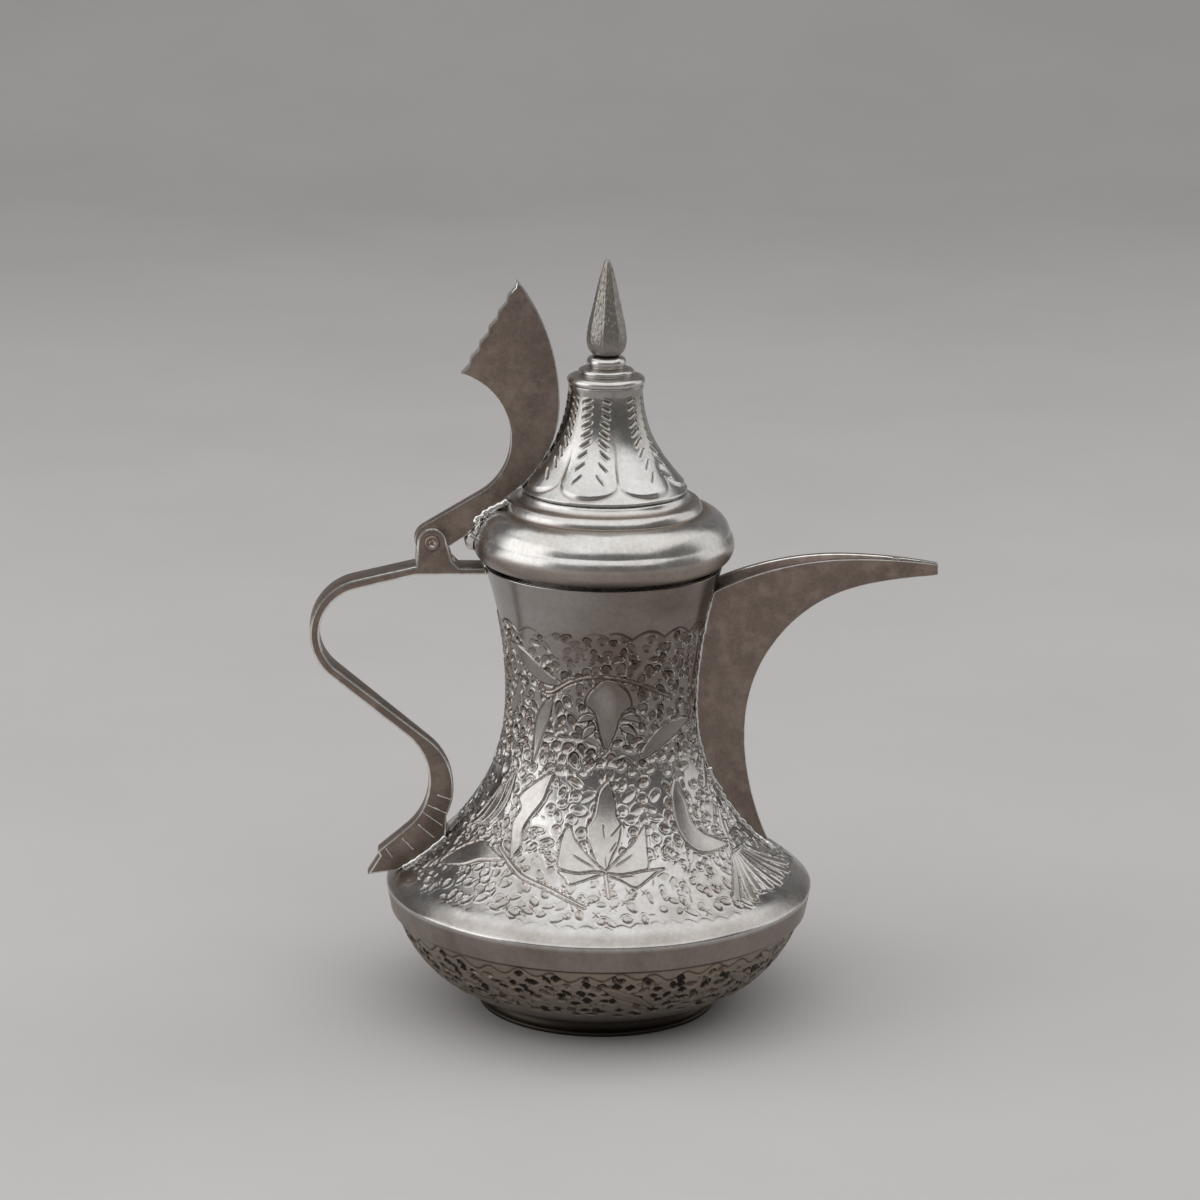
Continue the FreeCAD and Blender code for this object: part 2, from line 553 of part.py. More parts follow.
def spout_top():
    """The open upper edge, and everything above it, seen from the side."""
    return [
        ("0", "mouth_height - 4 * spout_top_drop"),
        ("mouth_radius", "mouth_height - spout_top_drop"),
        (("(mouth_radius + spout_crest_x) / 2", "spout_crest - (spout_top_drop + spout_top_rise) / 4"),
         ("spout_crest_x", "spout_crest")),
        (("(spout_crest_x + spout_tip) / 2", "spout_crest - spout_top_fall / 4"),
         ("spout_tip", "spout_crest - spout_top_fall")),
        ("spout_tip + spout_curve", "spout_crest - spout_top_fall"),
        ("spout_tip + spout_curve", "mouth_height + spout_curve"),
        ("0", "mouth_height + spout_curve"),
    ]


def fixed_piece(name, shape):
    """A piece whose shape no body or primitive can give."""
    piece = document.addObject("Part::Feature", name)
    piece.Label = name
    piece.Shape = max(shape.Solids, key=lambda solid: solid.Volume)
    piece.Placement = FreeCAD.Placement()
    return piece


def spout():
    """Beak of folded sheet, cut open along its top and fitted to the body."""
    folded, channel = spout_lofts("0")
    shell = folded.cut(channel)
    reach = FreeCAD.Vector(0, 2 * size("spout_bend_half + spout_sheet"), 0)
    above = flat(spout_top())
    above.translate(reach * -0.5)
    shell = shell.cut(above.extrude(reach))
    return fixed_piece("spout", shell.cut(flat(pot_side("seat_gap")).revolve(ORIGIN, UP, 360)))


def spout_bridge():
    """Bead of solder that fills the channel from side to side near the tip."""
    channel = spout_lofts("seat_gap")[1]
    across = size("spout_beak_half")
    edge = "spout_crest - spout_top_fall * (1 - bridge_setback / spout_crest_reach)^2"
    start = FreeCAD.Vector(size("spout_tip - bridge_setback"), -across, size(f"{edge} - bridge_sink"))
    bead = Part.makeCylinder(size("bridge_radius"), 2 * across, start, FreeCAD.Vector(0, 1, 0))
    return fixed_piece("spout_bridge", bead.common(channel))


def hinge_ears_and_strap():
    """The handle's outline: ears, run, back bend, leg, knee, tail and the bar to the neck."""
    back = ("back_x", "back_height")
    knee = ("knee_x", "knee_height")
    shin = ("shin_x", "shin_height")
    hinge = ("hinge_x", "hinge_height")
    run_end = on_circle(back, "back_radius", "90 + run_slope")
    ear_foot = f"{run_end[1]} + (ear_back - ear_flare / 4 - ({run_end[0]})) * tan(run_slope)"
    shin_foot = on_circle(shin, "shin_radius", "-shin_end")
    return [
        ("ear_back - ear_flare / 4", ear_foot),
        run_end,
        arc(back, "back_radius", "90 + run_slope", "270 - leg_outer"),
        on_circle(knee, "knee_radius", "90 - leg_outer"),
        arc(knee, "knee_radius", "90 - leg_outer", "-tail_start"),
        ("-(belly_radius + tail_corner)", "belly_height + tail_corner_rise"),
        ("-(belly_radius + tail_corner - tail_notch / 2)", "belly_height + tail_corner_rise - tail_notch"),
        ("-(belly_radius + tail_length)", "belly_height + tail_rise"),
        ("-(rim_radius - tail_length)", "rim_height"),
        (shin_foot[0], "belly_height"),
        shin_foot,
        arc(shin, "shin_radius", "-shin_end", "90 - leg_inner"),
        on_circle(back, "back_radius - strap", "270 - leg_inner"),
        arc(back, "back_radius - strap", "270 - leg_inner", "90 + run_slope"),
        ("ear_back - ear_flare / 4", "mouth_height - bar_drop"),
        ("-waist_radius", "mouth_height - bar_drop"),
        ("-waist_radius", "bar_top"),
        ("hinge_x + ear_radius + ear_flare + ear_fillet", "bar_top"),
        ("hinge_x + ear_radius + ear_flare", "bar_top + ear_fillet"),
        ("hinge_x + ear_radius", "hinge_height"),
        arc(hinge, "ear_radius", "0", "180"),
    ]


def handle():
    """S-shaped strap with two ears, narrower from the leg down, fitted to the neck and the shoulder."""
    body = plate("handle", hinge_ears_and_strap(), "handle_width")
    for name, side in (("near", "-"), ("far", "")):
        cheek = draw(body, f"{name}_cheek", [
            (f"{side}tail_width / 2", "0"),
            (f"{side}tail_width / 2", "knee_height + taper_rise"),
            (f"{side}handle_width / 2", "mouth_height - taper_drop"),
            (f"{side}handle_width", "mouth_height - taper_drop"),
            (f"{side}handle_width", "0"),
        ], "YZ_Plane")
        cut_through(body, f"{name}_cheek_cut", cheek, "4 * belly_radius")
    trim_round(body, "handle_seat", pot_side("seat_gap"))
    slot = draw(body, "lever_slot", [
        ("ear_back - ear_radius", "slot_floor"),
        ("hinge_x + 3 * ear_radius", "slot_floor"),
        ("hinge_x + 3 * ear_radius", "hinge_height + 2 * ear_radius"),
        ("ear_back - ear_radius", "hinge_height + 2 * ear_radius"),
    ])
    cut_through(body, "lever_slot_cut", slot, "lever_thickness + 2 * ear_gap")
    bore = draw_circle(body, "ear_bore", ("hinge_x", "hinge_height"), "pin_radius + pin_press_gap")
    cut_through(body, "ear_bore_cut", bore, "2 * handle_width")
    return body


def hinge_pin():
    """Pin through both ears, peened to dished heads."""
    face = "handle_width / 2"
    body = new_body("hinge_pin")
    turn = body.newObject("PartDesign::Revolution", "hinge_pin_turn")
    head = f"{face} + pin_head"
    turn.Profile = draw(body, "hinge_pin_profile", [
        ("0", f"-({head} - pin_dish)"),
        ("pin_head_radius / 3", f"-({head} - pin_dish)"),
        ("pin_head_radius * 0.7", f"-({head})"),
        (("pin_head_radius * 0.93", f"-({face} + pin_head * 0.8)"), ("pin_head_radius", f"-({face})")),
        ("pin_radius", f"-({face})"),
        ("pin_radius", face),
        ("pin_head_radius", face),
        (("pin_head_radius * 0.93", f"{face} + pin_head * 0.8"), ("pin_head_radius * 0.7", head)),
        ("pin_head_radius / 3", f"{head} - pin_dish"),
        ("0", f"{head} - pin_dish"),
    ], "XY_Plane")
    turn.ReferenceAxis = (turn.Profile[0], ["V_Axis"])
    turn.Angle = 360
    body.Tip = turn
    body.setExpression("Placement.Base.x", bound("hinge_x"))
    body.setExpression("Placement.Base.z", bound("hinge_height"))
    return body


def thumb_lever():
    """Tall lever with a toothed crest, which lifts the lid when the thumb presses it back."""
    hinge = ("hinge_x", "hinge_height")
    upper = ("hinge_x + lever_front - lever_front_upper", "hinge_height + lever_front_rise")
    lower = ("hinge_x + lever_front - lever_front_lower", "hinge_height + lever_front_rise")
    hollow = ("hinge_x + lever_back - lever_back_curve", "hinge_height + lever_back_rise")
    hook = ("hinge_x + lever_back - lever_back_upper", "hinge_height + lever_back_rise")
    upper_end = "asin((lever_tip_rise - lever_front_rise) / lever_front_upper) / (1 deg)"
    lower_end = "-asin((lever_front_rise - lever_belly_rise) / lever_front_lower) / (1 deg)"
    hook_end = "asin((lever_spur_rise - lever_back_rise) / lever_back_upper) / (1 deg)"
    outline = [
        ("hinge_x + lever_tip", "hinge_height + lever_tip_rise"),
        arc(upper, "lever_front_upper", upper_end, "0"),
        arc(lower, "lever_front_lower", "0", lower_end),
        ("hinge_x + lever_sole", "hinge_height + lever_sole_rise"),
        ("hinge_x + lever_throat", "hinge_height + lever_throat_rise"),
        on_circle(hinge, "knuckle_radius", "-25"),
        arc(hinge, "knuckle_radius", "-25", "-130"),
        arc(hinge, "knuckle_radius", "-130", "lever_slope - 270"),
        on_circle(hollow, "lever_back_curve", "lever_slope - 90"),
        arc(hollow, "lever_back_curve", "lever_slope - 90", "0"),
        arc(hook, "lever_back_upper", "0", hook_end),
    ]
    count = round(size("teeth"))
    run = f"(lever_tip - lever_spur) / {count}"
    rise = f"(lever_tip_rise - lever_spur_rise) / {count}"
    for tooth in range(count):
        outline.append((f"hinge_x + lever_spur + ({tooth} + tooth_ledge) * {run}",
                        f"hinge_height + lever_spur_rise + ({tooth} + tooth_lift) * {rise}"))
        if tooth + 1 < count:
            outline.append((f"hinge_x + lever_spur + {tooth + 1} * {run}",
                            f"hinge_height + lever_spur_rise + {tooth + 1} * {rise}"))
    body = plate("thumb_lever", outline, "lever_thickness")
    bore = draw_circle(body, "lever_bore", hinge, "pin_radius + pin_run_gap")
    cut_through(body, "lever_bore_cut", bore, "2 * lever_thickness")
    return body


def lid_outer(gap):
    """The lid rim's outer side from its edge to the top of the dome, grown by a gap."""
    middle = ("(lid_shoulder_radius + dome_radius) / 2", "(lid_shoulder + dome_top) / 2")
    return [
        (f"lid_edge_radius + {gap}", "lid_edge"),
        ((f"lid_radius + {gap}", "lid_edge + lid_widest_rise"),
         (f"lid_shoulder_radius + {gap}", "lid_shoulder")),
        ((f"{middle[0]} + dome_bulge + {gap}", f"{middle[1]} + dome_bulge + {gap}"),
         (f"dome_radius + {gap}", f"dome_top + {gap}")),
    ]


def lid_rim():
    """Domed ring of the lid with a ridge and a band that carries the bell."""
    inner_middle = ("(lid_shoulder_radius + dome_radius) / 2 + dome_bulge - lid_sheet",
                    "(lid_shoulder + dome_top) / 2 + dome_bulge - lid_sheet")
    return turned("lid_rim", lid_outer("0") + [
        ("ridge_radius", "dome_top"),
        (("ridge_radius - ridge_height / 4", "ridge_top - ridge_height / 4"),
         ("ridge_radius - ridge_height / 2", "ridge_top")),
        (("band_radius + band_height / 3", "ridge_top + band_height / 3"), ("band_radius", "bell_seat")),
        ("crown_radius", "bell_seat"),
        ("crown_radius", "bell_seat - lid_sheet"),
        ("band_radius - lid_sheet", "bell_seat - lid_sheet"),
        ("dome_radius - 2 * lid_sheet", "dome_top - lid_sheet / 2"),
        (inner_middle, ("lid_shoulder_radius - lid_sheet", "lid_shoulder - lid_sheet / 2")),
        (("lid_radius - lid_sheet", "lid_edge + lid_widest_rise"),
         ("lid_edge_radius - lid_sheet", "lid_edge")),
    ])


def lid_sleeve():
    """Inner sleeve that keeps the closed lid centred on the mouth."""
    flange = "lid_edge_radius - lid_sheet - seat_gap"
    return turned("lid_sleeve", [
        ("sleeve_radius - sleeve_sheet", "sleeve_end"),
        ("sleeve_radius", "sleeve_end"),
        ("sleeve_radius", "lid_edge"),
        (flange, "lid_edge"),
        (flange, "lid_edge + sleeve_sheet"),
        ("sleeve_radius - sleeve_sheet", "lid_edge + sleeve_sheet"),
    ])


def lid_bell():
    """Hollow bell of the lid with a rounded foot."""
    centre = ("bell_top_radius + bell_curve", "bell_top")
    inner = "bell_curve + bell_sheet"
    foot_angle = "180 + asin((bell_height - bell_foot_height) / bell_curve) / (1 deg)"
    top_angle = f"180 + asin(bell_sheet / ({inner})) / (1 deg)"
    foot_inner = on_circle(centre, inner, foot_angle)
    return turned("lid_bell", [
        ("tenon_radius + tenon_gap", "bell_top"),
        ("bell_top_radius", "bell_top"),
        arc(centre, "bell_curve", "180", foot_angle),
        (("bell_foot_radius + bell_foot_height / 4", "bell_seat + bell_foot_height / 2"),
         ("bell_foot_radius - bell_foot_height / 4", "bell_seat")),
        (foot_inner[0], "bell_seat"),
        foot_inner,
        arc(centre, inner, foot_angle, top_angle),
        ("tenon_radius + tenon_gap", "bell_top - bell_sheet"),
    ])


def finial_collar():
    """Stacked rings between the bell and the finial."""
    bore = "tenon_radius + tenon_gap"
    disc_top = "bell_top + collar_disc_height"
    ring_top = "bell_top + collar_ring"
    return turned("finial_collar", [
        (bore, "bell_top"),
        ("bell_top_radius", "bell_top"),
        (("collar_radius", "bell_top + collar_ring / 2"), ("bell_top_radius - collar_ring / 4", ring_top)),
        ("collar_disc_radius", f"{ring_top} + collar_ring / 4"),
        (("collar_disc_radius + collar_ring / 6", f"({ring_top} + collar_ring / 4 + {disc_top}) / 2"),
         ("collar_disc_radius - collar_ring / 6", disc_top)),
        ("collar_knob_radius - collar_ring / 6", f"{disc_top} + collar_ring / 4"),
        (("collar_knob_radius + collar_ring / 8", f"({disc_top} + collar_ring / 4 + collar_top) / 2"),
         ("spike_neck_radius", "collar_top")),
        (bore, "collar_top"),
    ])


def finial():
    """Faceted spike whose tenon passes through the collar and the bell."""
    levels = (
        ("spike_neck_radius", "0"),
        ("spike_radius * 0.92", "spike_widest / 2"),
        ("spike_radius", "spike_widest"),
        ("(spike_radius + spike_tip_radius) / 2 + spike_bulge", "(spike_widest + spike_height) / 2"),
        ("spike_tip_radius", "spike_height"),
    )
    rings = []
    for index, (radius, rise) in enumerate(levels):
        ring = document.addObject("Part::RegularPolygon", f"spike_ring_{index}")
        ring.setExpression("Polygon", bound("spike_sides"))
        ring.setExpression("Circumradius", bound(radius))
        ring.Placement.Rotation = FreeCAD.Rotation(UP, 180 / size("spike_sides"))
        ring.setExpression("Placement.Base.z", bound(f"collar_top + {rise}"))
        rings.append(ring)
    spike = document.addObject("Part::Loft", "finial_spike")
    spike.Sections = rings
    spike.Solid = True
    spike.Ruled = True
    tenon = document.addObject("Part::Cylinder", "finial_tenon")
    tenon.setExpression("Radius", bound("tenon_radius"))
    tenon.setExpression("Height", bound("collar_height + bell_sheet + washer_thickness + tenon_tail"))
    tenon.setExpression("Placement.Base.z", bound("bell_top - bell_sheet - washer_thickness - tenon_tail"))
    piece = document.addObject("Part::Fuse", "finial")
    piece.Label = "finial"
    piece.Base = spike
    piece.Tool = tenon
    return piece


def finial_washer():
    """Washer under the bell's top, over which the tenon is peened."""
    under = "bell_top - bell_sheet"
    return turned("finial_washer", [
        ("tenon_radius + tenon_gap", f"{under} - washer_thickness"),
        ("washer_radius", f"{under} - washer_thickness"),
        ("washer_radius", under),
        ("tenon_radius + tenon_gap", under),
    ])


def lever_solder_joint():
    """Lump of solder that joins the lever's sole to the lid."""
    sole = ("hinge_x + lever_sole - seat_gap", "hinge_height + lever_sole_rise - seat_gap")
    throat = ("hinge_x + lever_throat", "hinge_height + lever_throat_rise - 2 * seat_gap")
    body = plate("lever_solder_joint", [
        sole,
        (f"{sole[0]} + lid_sheet", "lid_shoulder"),
        ("-(lid_radius - lid_sheet)", f"{throat[1]} - solder_drop / 2"),
        ((f"{throat[0]} + seat_gap - solder_drop / 9", f"{throat[1]} - solder_drop / 4"), throat),
    ], "solder_width")
    trim_round(body, "solder_seat", lid_outer("seat_gap") + [("0", "dome_top + seat_gap"), ("0", "lid_edge")])
    return body


def check(pieces):
    """Stops the script if any object failed or any piece is not one valid solid."""
    for item in document.Objects:
        if {"Invalid", "Error"} & set(item.State):
            raise RuntimeError(f"{item.Label} failed: {item.State}")
    for piece in pieces:
        shape = piece.Shape
        if shape.isNull() or not shape.isValid() or len(shape.Solids) != 1:
            raise RuntimeError(f"{piece.Label} is not one valid solid")


PIECES = [
    waist_shell(), base_bowl(), foot_ring(), spout(), spout_bridge(), handle(), hinge_pin(), thumb_lever(),
    lever_solder_joint(), lid_rim(), lid_sleeve(), lid_bell(), finial_collar(), finial(), finial_washer(),
]
document.recompute()
check(PIECES)
os.makedirs("parts", exist_ok=True)
for part in PIECES:
    part.Shape.exportStep(f"parts/{part.Label}.step")
    print(part.Label, round(part.Shape.Volume, 1), "mm3")
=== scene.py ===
import math

import bmesh
import bpy
import numpy as np
from mathutils import Matrix, Vector


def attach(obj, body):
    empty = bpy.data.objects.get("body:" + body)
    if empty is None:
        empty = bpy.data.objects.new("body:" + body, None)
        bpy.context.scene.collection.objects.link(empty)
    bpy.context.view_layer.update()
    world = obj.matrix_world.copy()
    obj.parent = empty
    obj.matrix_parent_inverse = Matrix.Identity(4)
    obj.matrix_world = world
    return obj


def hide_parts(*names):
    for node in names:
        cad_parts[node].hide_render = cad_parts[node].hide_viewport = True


# Looks of a small chased dallah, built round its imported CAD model. Lengths are millimetres, except
# for the lamps, and angles round the pot are degrees: 0 faces the viewer, 90 the spout.

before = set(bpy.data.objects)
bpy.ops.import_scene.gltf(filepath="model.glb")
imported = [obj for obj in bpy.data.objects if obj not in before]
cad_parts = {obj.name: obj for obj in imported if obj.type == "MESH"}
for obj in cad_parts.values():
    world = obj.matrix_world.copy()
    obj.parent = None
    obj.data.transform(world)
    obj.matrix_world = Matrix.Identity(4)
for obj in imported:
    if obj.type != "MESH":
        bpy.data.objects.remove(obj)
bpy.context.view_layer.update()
MM = 0.001
FAR = 99.0
TINY = 1e-9
FINE_STEP = 0.05
rng = np.random.default_rng(11)


# Lines and outlines

def lengths(points):
    """Length along a line up to each of its points."""
    return np.concatenate([[0], np.cumsum(np.linalg.norm(np.diff(points, axis=0), axis=1))])


def resample(at, places, points):
    """Points of a line at new places along it."""
    return np.stack([np.interp(at, places, part) for part in points.T], 1)


def arc(centre, radius, start, end):
    count = max(2, int(abs(math.radians(end - start)) * radius / FINE_STEP))
    turn = np.radians(np.linspace(start, end, count + 1))
    return np.stack([centre[0] + radius * np.cos(turn), centre[1] + radius * np.sin(turn)], 1)


def arc3(begin, middle, end):
    """The arc through three points."""
    (ax, ay), (bx, by), (cx, cy) = begin, middle, end
    d = 2 * (ax * (by - cy) + bx * (cy - ay) + cx * (ay - by))
    a, b, c = ax**2 + ay**2, bx**2 + by**2, cx**2 + cy**2
    ux = (a * (by - cy) + b * (cy - ay) + c * (ay - by)) / d
    uy = (a * (cx - bx) + b * (ax - cx) + c * (bx - ax)) / d
    radius = math.hypot(ax - ux, ay - uy)
    start, passing, stop = (math.atan2(y - uy, x - ux) for x, y in (begin, middle, end))
    turn = (stop - start) % (2 * math.pi)
    if (passing - start) % (2 * math.pi) > turn:
        turn -= 2 * math.pi
    return arc((ux, uy), radius, math.degrees(start), math.degrees(start + turn))


def join(*runs):
    """One closed outline through points and arcs, in fine even steps."""
    points = np.vstack([np.atleast_2d(np.asarray(run, float)) for run in runs])
    closed = np.vstack([points, points[:1]])
    length = lengths(closed)
    keep = np.concatenate([[True], np.diff(length) > TINY])
    at = np.linspace(0, length[-1], int(length[-1] / FINE_STEP), endpoint=False)
    return resample(at, length[keep], closed[keep])


def soften(outline, reach):
    """Rounds the corners of a fine closed outline."""
    half = max(1, int(reach / FINE_STEP))
    for _ in range(2):
        total = np.zeros_like(outline)
        for shift in range(-half, half + 1):
            total += np.roll(outline, shift, 0)
        outline = total / (2 * half + 1)
    outline[:, 0] = np.maximum(outline[:, 0], 0)
    return outline


def thin(outline, spacing):
    """Rows of a fine closed outline at one spacing, or at the spacing wanted at each point."""
    closed = np.vstack([outline, outline[:1]])
    weight = np.concatenate([[0], np.cumsum(np.diff(lengths(closed)) / spacing)])
    at = np.linspace(0, weight[-1], int(round(weight[-1])), endpoint=False)
    return resample(at, weight, closed)


def drop_axis(rows):
    """Leaves one point at each end of a run of points on the axis."""
    on_axis = rows[:, 0] < TINY
    return rows[~(on_axis & np.roll(on_axis, 1) & np.roll(on_axis, -1))]


def smooth_path(path, count=40):
    """A smooth line through a few points."""
    knots = np.asarray(path, float)
    padded = np.vstack([2 * knots[0] - knots[1], knots, 2 * knots[-1] - knots[-2]])
    spans = len(knots) - 1
    t = np.linspace(0, spans, count)
    span = np.minimum(t.astype(int), spans - 1)
    u = (t - span)[:, None]
    p0, p1, p2, p3 = (padded[span + k] for k in range(4))
    bend = 2 * p0 - 5 * p1 + 4 * p2 - p3
    twist = 3 * p1 - p0 - 3 * p2 + p3
    return 0.5 * (2 * p1 + (p2 - p0) * u + bend * u**2 + twist * u**3)


def smoothstep(value, low, high):
    t = np.clip((value - low) / (high - low), 0, 1)
    return t * t * (3 - 2 * t)


def fall(value, high, low):
    """0 above one value and 1 below another."""
    return smoothstep(-value, -high, -low)


def hump(value, width):
    """1 where a value is 0, and next to nothing two widths away."""
    return np.exp(-(value / width)**2)


def wave(angle, count, phase=0):
    """A sine with a number of waves round the pot."""
    return np.sin(np.radians(count * angle + phase))


# Meshes

def link(name, data):
    """A new object in the scene."""
    made = bpy.data.objects.new(name, data)
    bpy.context.scene.collection.objects.link(made)
    return made


def modified_mesh(piece):
    """A piece's mesh after its modifiers."""
    return bpy.data.meshes.new_from_object(piece.evaluated_get(bpy.context.evaluated_depsgraph_get()))


def stand_for(piece, node, body):
    """Puts a piece in the place of a CAD node."""
    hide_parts(node)
    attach(piece, body)


def vertices_of(node):
    """The points of a CAD node, in millimetres."""
    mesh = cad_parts[node].data
    points = np.zeros(3 * len(mesh.vertices), np.float32)
    mesh.vertices.foreach_get("co", points)
    return points.reshape(-1, 3) / MM


def build_mesh(name, points, faces, material, attributes=None, corners_map=None):
    """An object from points in millimetres and arrays of equal-sided faces."""
    mesh = bpy.data.meshes.new(name)
    mesh.vertices.add(len(points))
    mesh.vertices.foreach_set("co", (np.asarray(points, float) * MM).astype(np.float32).ravel())
    corners = np.concatenate([face.ravel() for face in faces])
    sides = np.concatenate([np.full(len(face), face.shape[1]) for face in faces])
    mesh.loops.add(len(corners))
    mesh.loops.foreach_set("vertex_index", corners.astype(np.int32))
    mesh.polygons.add(len(sides))
    starts = np.concatenate([[0], np.cumsum(sides)[:-1]])
    mesh.polygons.foreach_set("loop_start", starts.astype(np.int32))
    mesh.update(calc_edges=True)
    mesh.polygons.foreach_set("use_smooth", np.full(len(sides), True))
    for label, values in (attributes or {}).items():
        layer = mesh.attributes.new(label, "FLOAT", "POINT")
        layer.data.foreach_set("value", values.astype(np.float32))
    if corners_map is not None:
        layer = mesh.uv_layers.new(name="OFBake")
        layer.data.foreach_set("uv", corners_map.astype(np.float32))
    mesh.validate()
    mesh.materials.append(material)
    return link(name, mesh)


class Turned:
    """A grid of points round the pot's axis, whose surface can be raised, cut, stained and darkened with
    painted shade.
    """

    def __init__(self, rows, columns):
        self.rows = rows
        self.columns = columns
        self.angle = np.arange(columns) * 360 / columns
        turn = np.radians(self.angle)
        around = np.stack([np.sin(turn), -np.cos(turn)], 1)
        along = np.roll(rows, -1, 0) - np.roll(rows, 1, 0)
        along /= np.maximum(np.linalg.norm(along, axis=1, keepdims=True), TINY)
        self.points = np.zeros((len(rows), columns, 3))
        self.normals = np.zeros_like(self.points)
        self.points[..., :2] = rows[:, :1, None] * around[None]
        self.points[..., 2] = rows[:, 1:2]
        self.normals[..., :2] = -along[:, 1, None, None] * around[None]
        self.normals[..., 2] = along[:, :1]
        self.height = np.zeros((len(rows), columns))
        # one darkening value per point: dirt in hollows and lines, and painted shade
        self.dirt_and_shade = np.zeros((len(rows), columns))

    def hammer(self, face_rows, length, depth, waves):
        """Slow unevenness from the hammer: waves round the pot, which come and go along its side."""
        for count, phase, reach in waves:
            self.height[face_rows] += depth * wave(self.angle[None, :], count, phase) * np.cos(length / reach)

    def piece(self, name, material):
        """The mesh of the grid, in which a row on the axis is one point."""
        pole = self.rows[:, 0] < TINY
        kept = np.ones(self.height.shape, bool)
        kept[pole, 1:] = False
        index = (np.cumsum(kept) - 1).reshape(kept.shape)
        moved = self.points + self.normals * self.height[..., None]
        length = lengths(np.vstack([self.rows, self.rows[:1]]))
        v = length / length[-1]
        step = 1 / self.columns
        u = np.arange(self.columns) * step
        faces, maps = {4: [], 3: []}, {4: [], 3: []}
        for row in range(len(self.rows)):
            below = (row + 1) % len(self.rows)
            corners = [(row, row, 0), (below, row + 1, 0), (below, row + 1, 1), (row, row, 1)]
            if pole[row] and pole[below]:
                continue
            if pole[row]:
                corners = [(row, row, 0.5), *corners[1:3]]
            elif pole[below]:
                corners = [corners[0], (below, row + 1, 0.5), corners[3]]
            sides = len(corners)
            faces[sides].append(np.stack([np.roll(index[at], -int(aside)) for at, _, aside in corners], 1))
            places = [(u + aside * step, np.full_like(u, v[level])) for _, level, aside in corners]
            maps[sides].append(np.stack([part for place in places for part in place], 1))
        faces = [np.vstack(group) for group in faces.values() if group]
        flat_map = np.concatenate([np.vstack(group).ravel() for group in maps.values() if group])
        attributes = {"dirt_and_shade": self.dirt_and_shade[kept], "ridge": self.height[kept] / HIGHEST}
        return build_mesh(name, moved[kept], faces, material, attributes, flat_map)


def finish_turned(grid, name, material, node, body):
    piece = grid.piece(name, material)
    stand_for(piece, node, body)
    return piece


# Materials

def new_material(name):
    material = bpy.data.materials.new(name)
    material.use_nodes = True
    tree = material.node_tree
    return material, tree, tree.nodes["Principled BSDF"]


def feed(tree, socket, value):
    """Links a socket to another, or sets it to a number, vector or colour."""
    if isinstance(value, bpy.types.NodeSocket):
        tree.links.new(value, socket)
    else:
        socket.default_value = (*value, 1) if isinstance(value, tuple) else value


def shading(tree, kind, output, inputs, **settings):
    """An output of a new node with those inputs and settings."""
    node = tree.nodes.new("ShaderNode" + kind)
    for label, value in settings.items():
        setattr(node, label, value)
    for label, value in inputs.items():
        feed(tree, node.inputs[label], value)
    return node.outputs[output]


def ramp(tree, source, stops):
    """A ramp between two greys or colours, each at its place from 0 to 1."""
    node = tree.nodes.new("ShaderNodeValToRGB")
    for element, (place, colour) in zip(node.color_ramp.elements, stops):
        element.position = place
        element.color = (*colour, 1) if isinstance(colour, tuple) else (colour, colour, colour, 1)
    feed(tree, node.inputs["Fac"], source)
    return node.outputs["Color"]


def noise(tree, scale, detail=4, rough=0.6, stretch=None):
    where = shading(tree, "TexCoord", "Object", {})
    if stretch:
        where = shading(tree, "Mapping", "Vector", {"Scale": Vector(stretch), "Vector": where})
    inputs = {"Scale": scale, "Detail": detail, "Roughness": rough, "Vector": where}
    return shading(tree, "TexNoise", "Fac", inputs)


def mix(tree, amount, first, second, mode="MIX"):
    inputs = {"Factor": amount, 6: first, 7: second}
    return shading(tree, "Mix", 2, inputs, data_type="RGBA", blend_type=mode)


def maths(tree, operation, first, second):
    return shading(tree, "Math", 0, {0: first, 1: second}, operation=operation)


def rise(tree, low, high, axis="Z"):
    """0 below one place along an axis and 1 above another, in millimetres at rest."""
    place = shading(tree, "SeparateXYZ", axis, {0: shading(tree, "TexCoord", "Object", {})})
    inputs = {"From Min": low * MM, "From Max": high * MM, "Value": place}
    return shading(tree, "MapRange", "Result", inputs, interpolation_type="SMOOTHSTEP")


def painted(tree, name):
    """A value that the mesh holds at each point."""
    return shading(tree, "Attribute", "Fac", {}, attribute_name=name)


def bump(tree, source, strength, distance):
    inputs = {"Strength": strength, "Distance": distance * MM, "Height": source}
    return shading(tree, "Bump", 0, inputs)


def finish_metal(tree, shader, colour, rough, relief):
    """Links what makes a metal to its shader."""
    shader.inputs["Metallic"].default_value = 1.0
    for label, source in (("Base Color", colour), ("Roughness", rough), ("Normal", relief)):
        feed(tree, shader.inputs[label], source)


# Tints for the mesh's darkening value, brown and then near black: they colour real dirt and chased lines, and
# painted shade too.
DIRT_AND_SHADE_TINT = (0.62, 0.545, 0.5)
BLACK_LINES_AND_SHADE = (0.03, 0.026, 0.022)
DIRT_ROUGH = (0.46, 0.46, 0.46)
# Span of x over which the tarnish band goes from half to full strength: painted shade, darker on the pot's
# right than on its left.
TARNISH_SHADE_SIDE = (-21, 4)


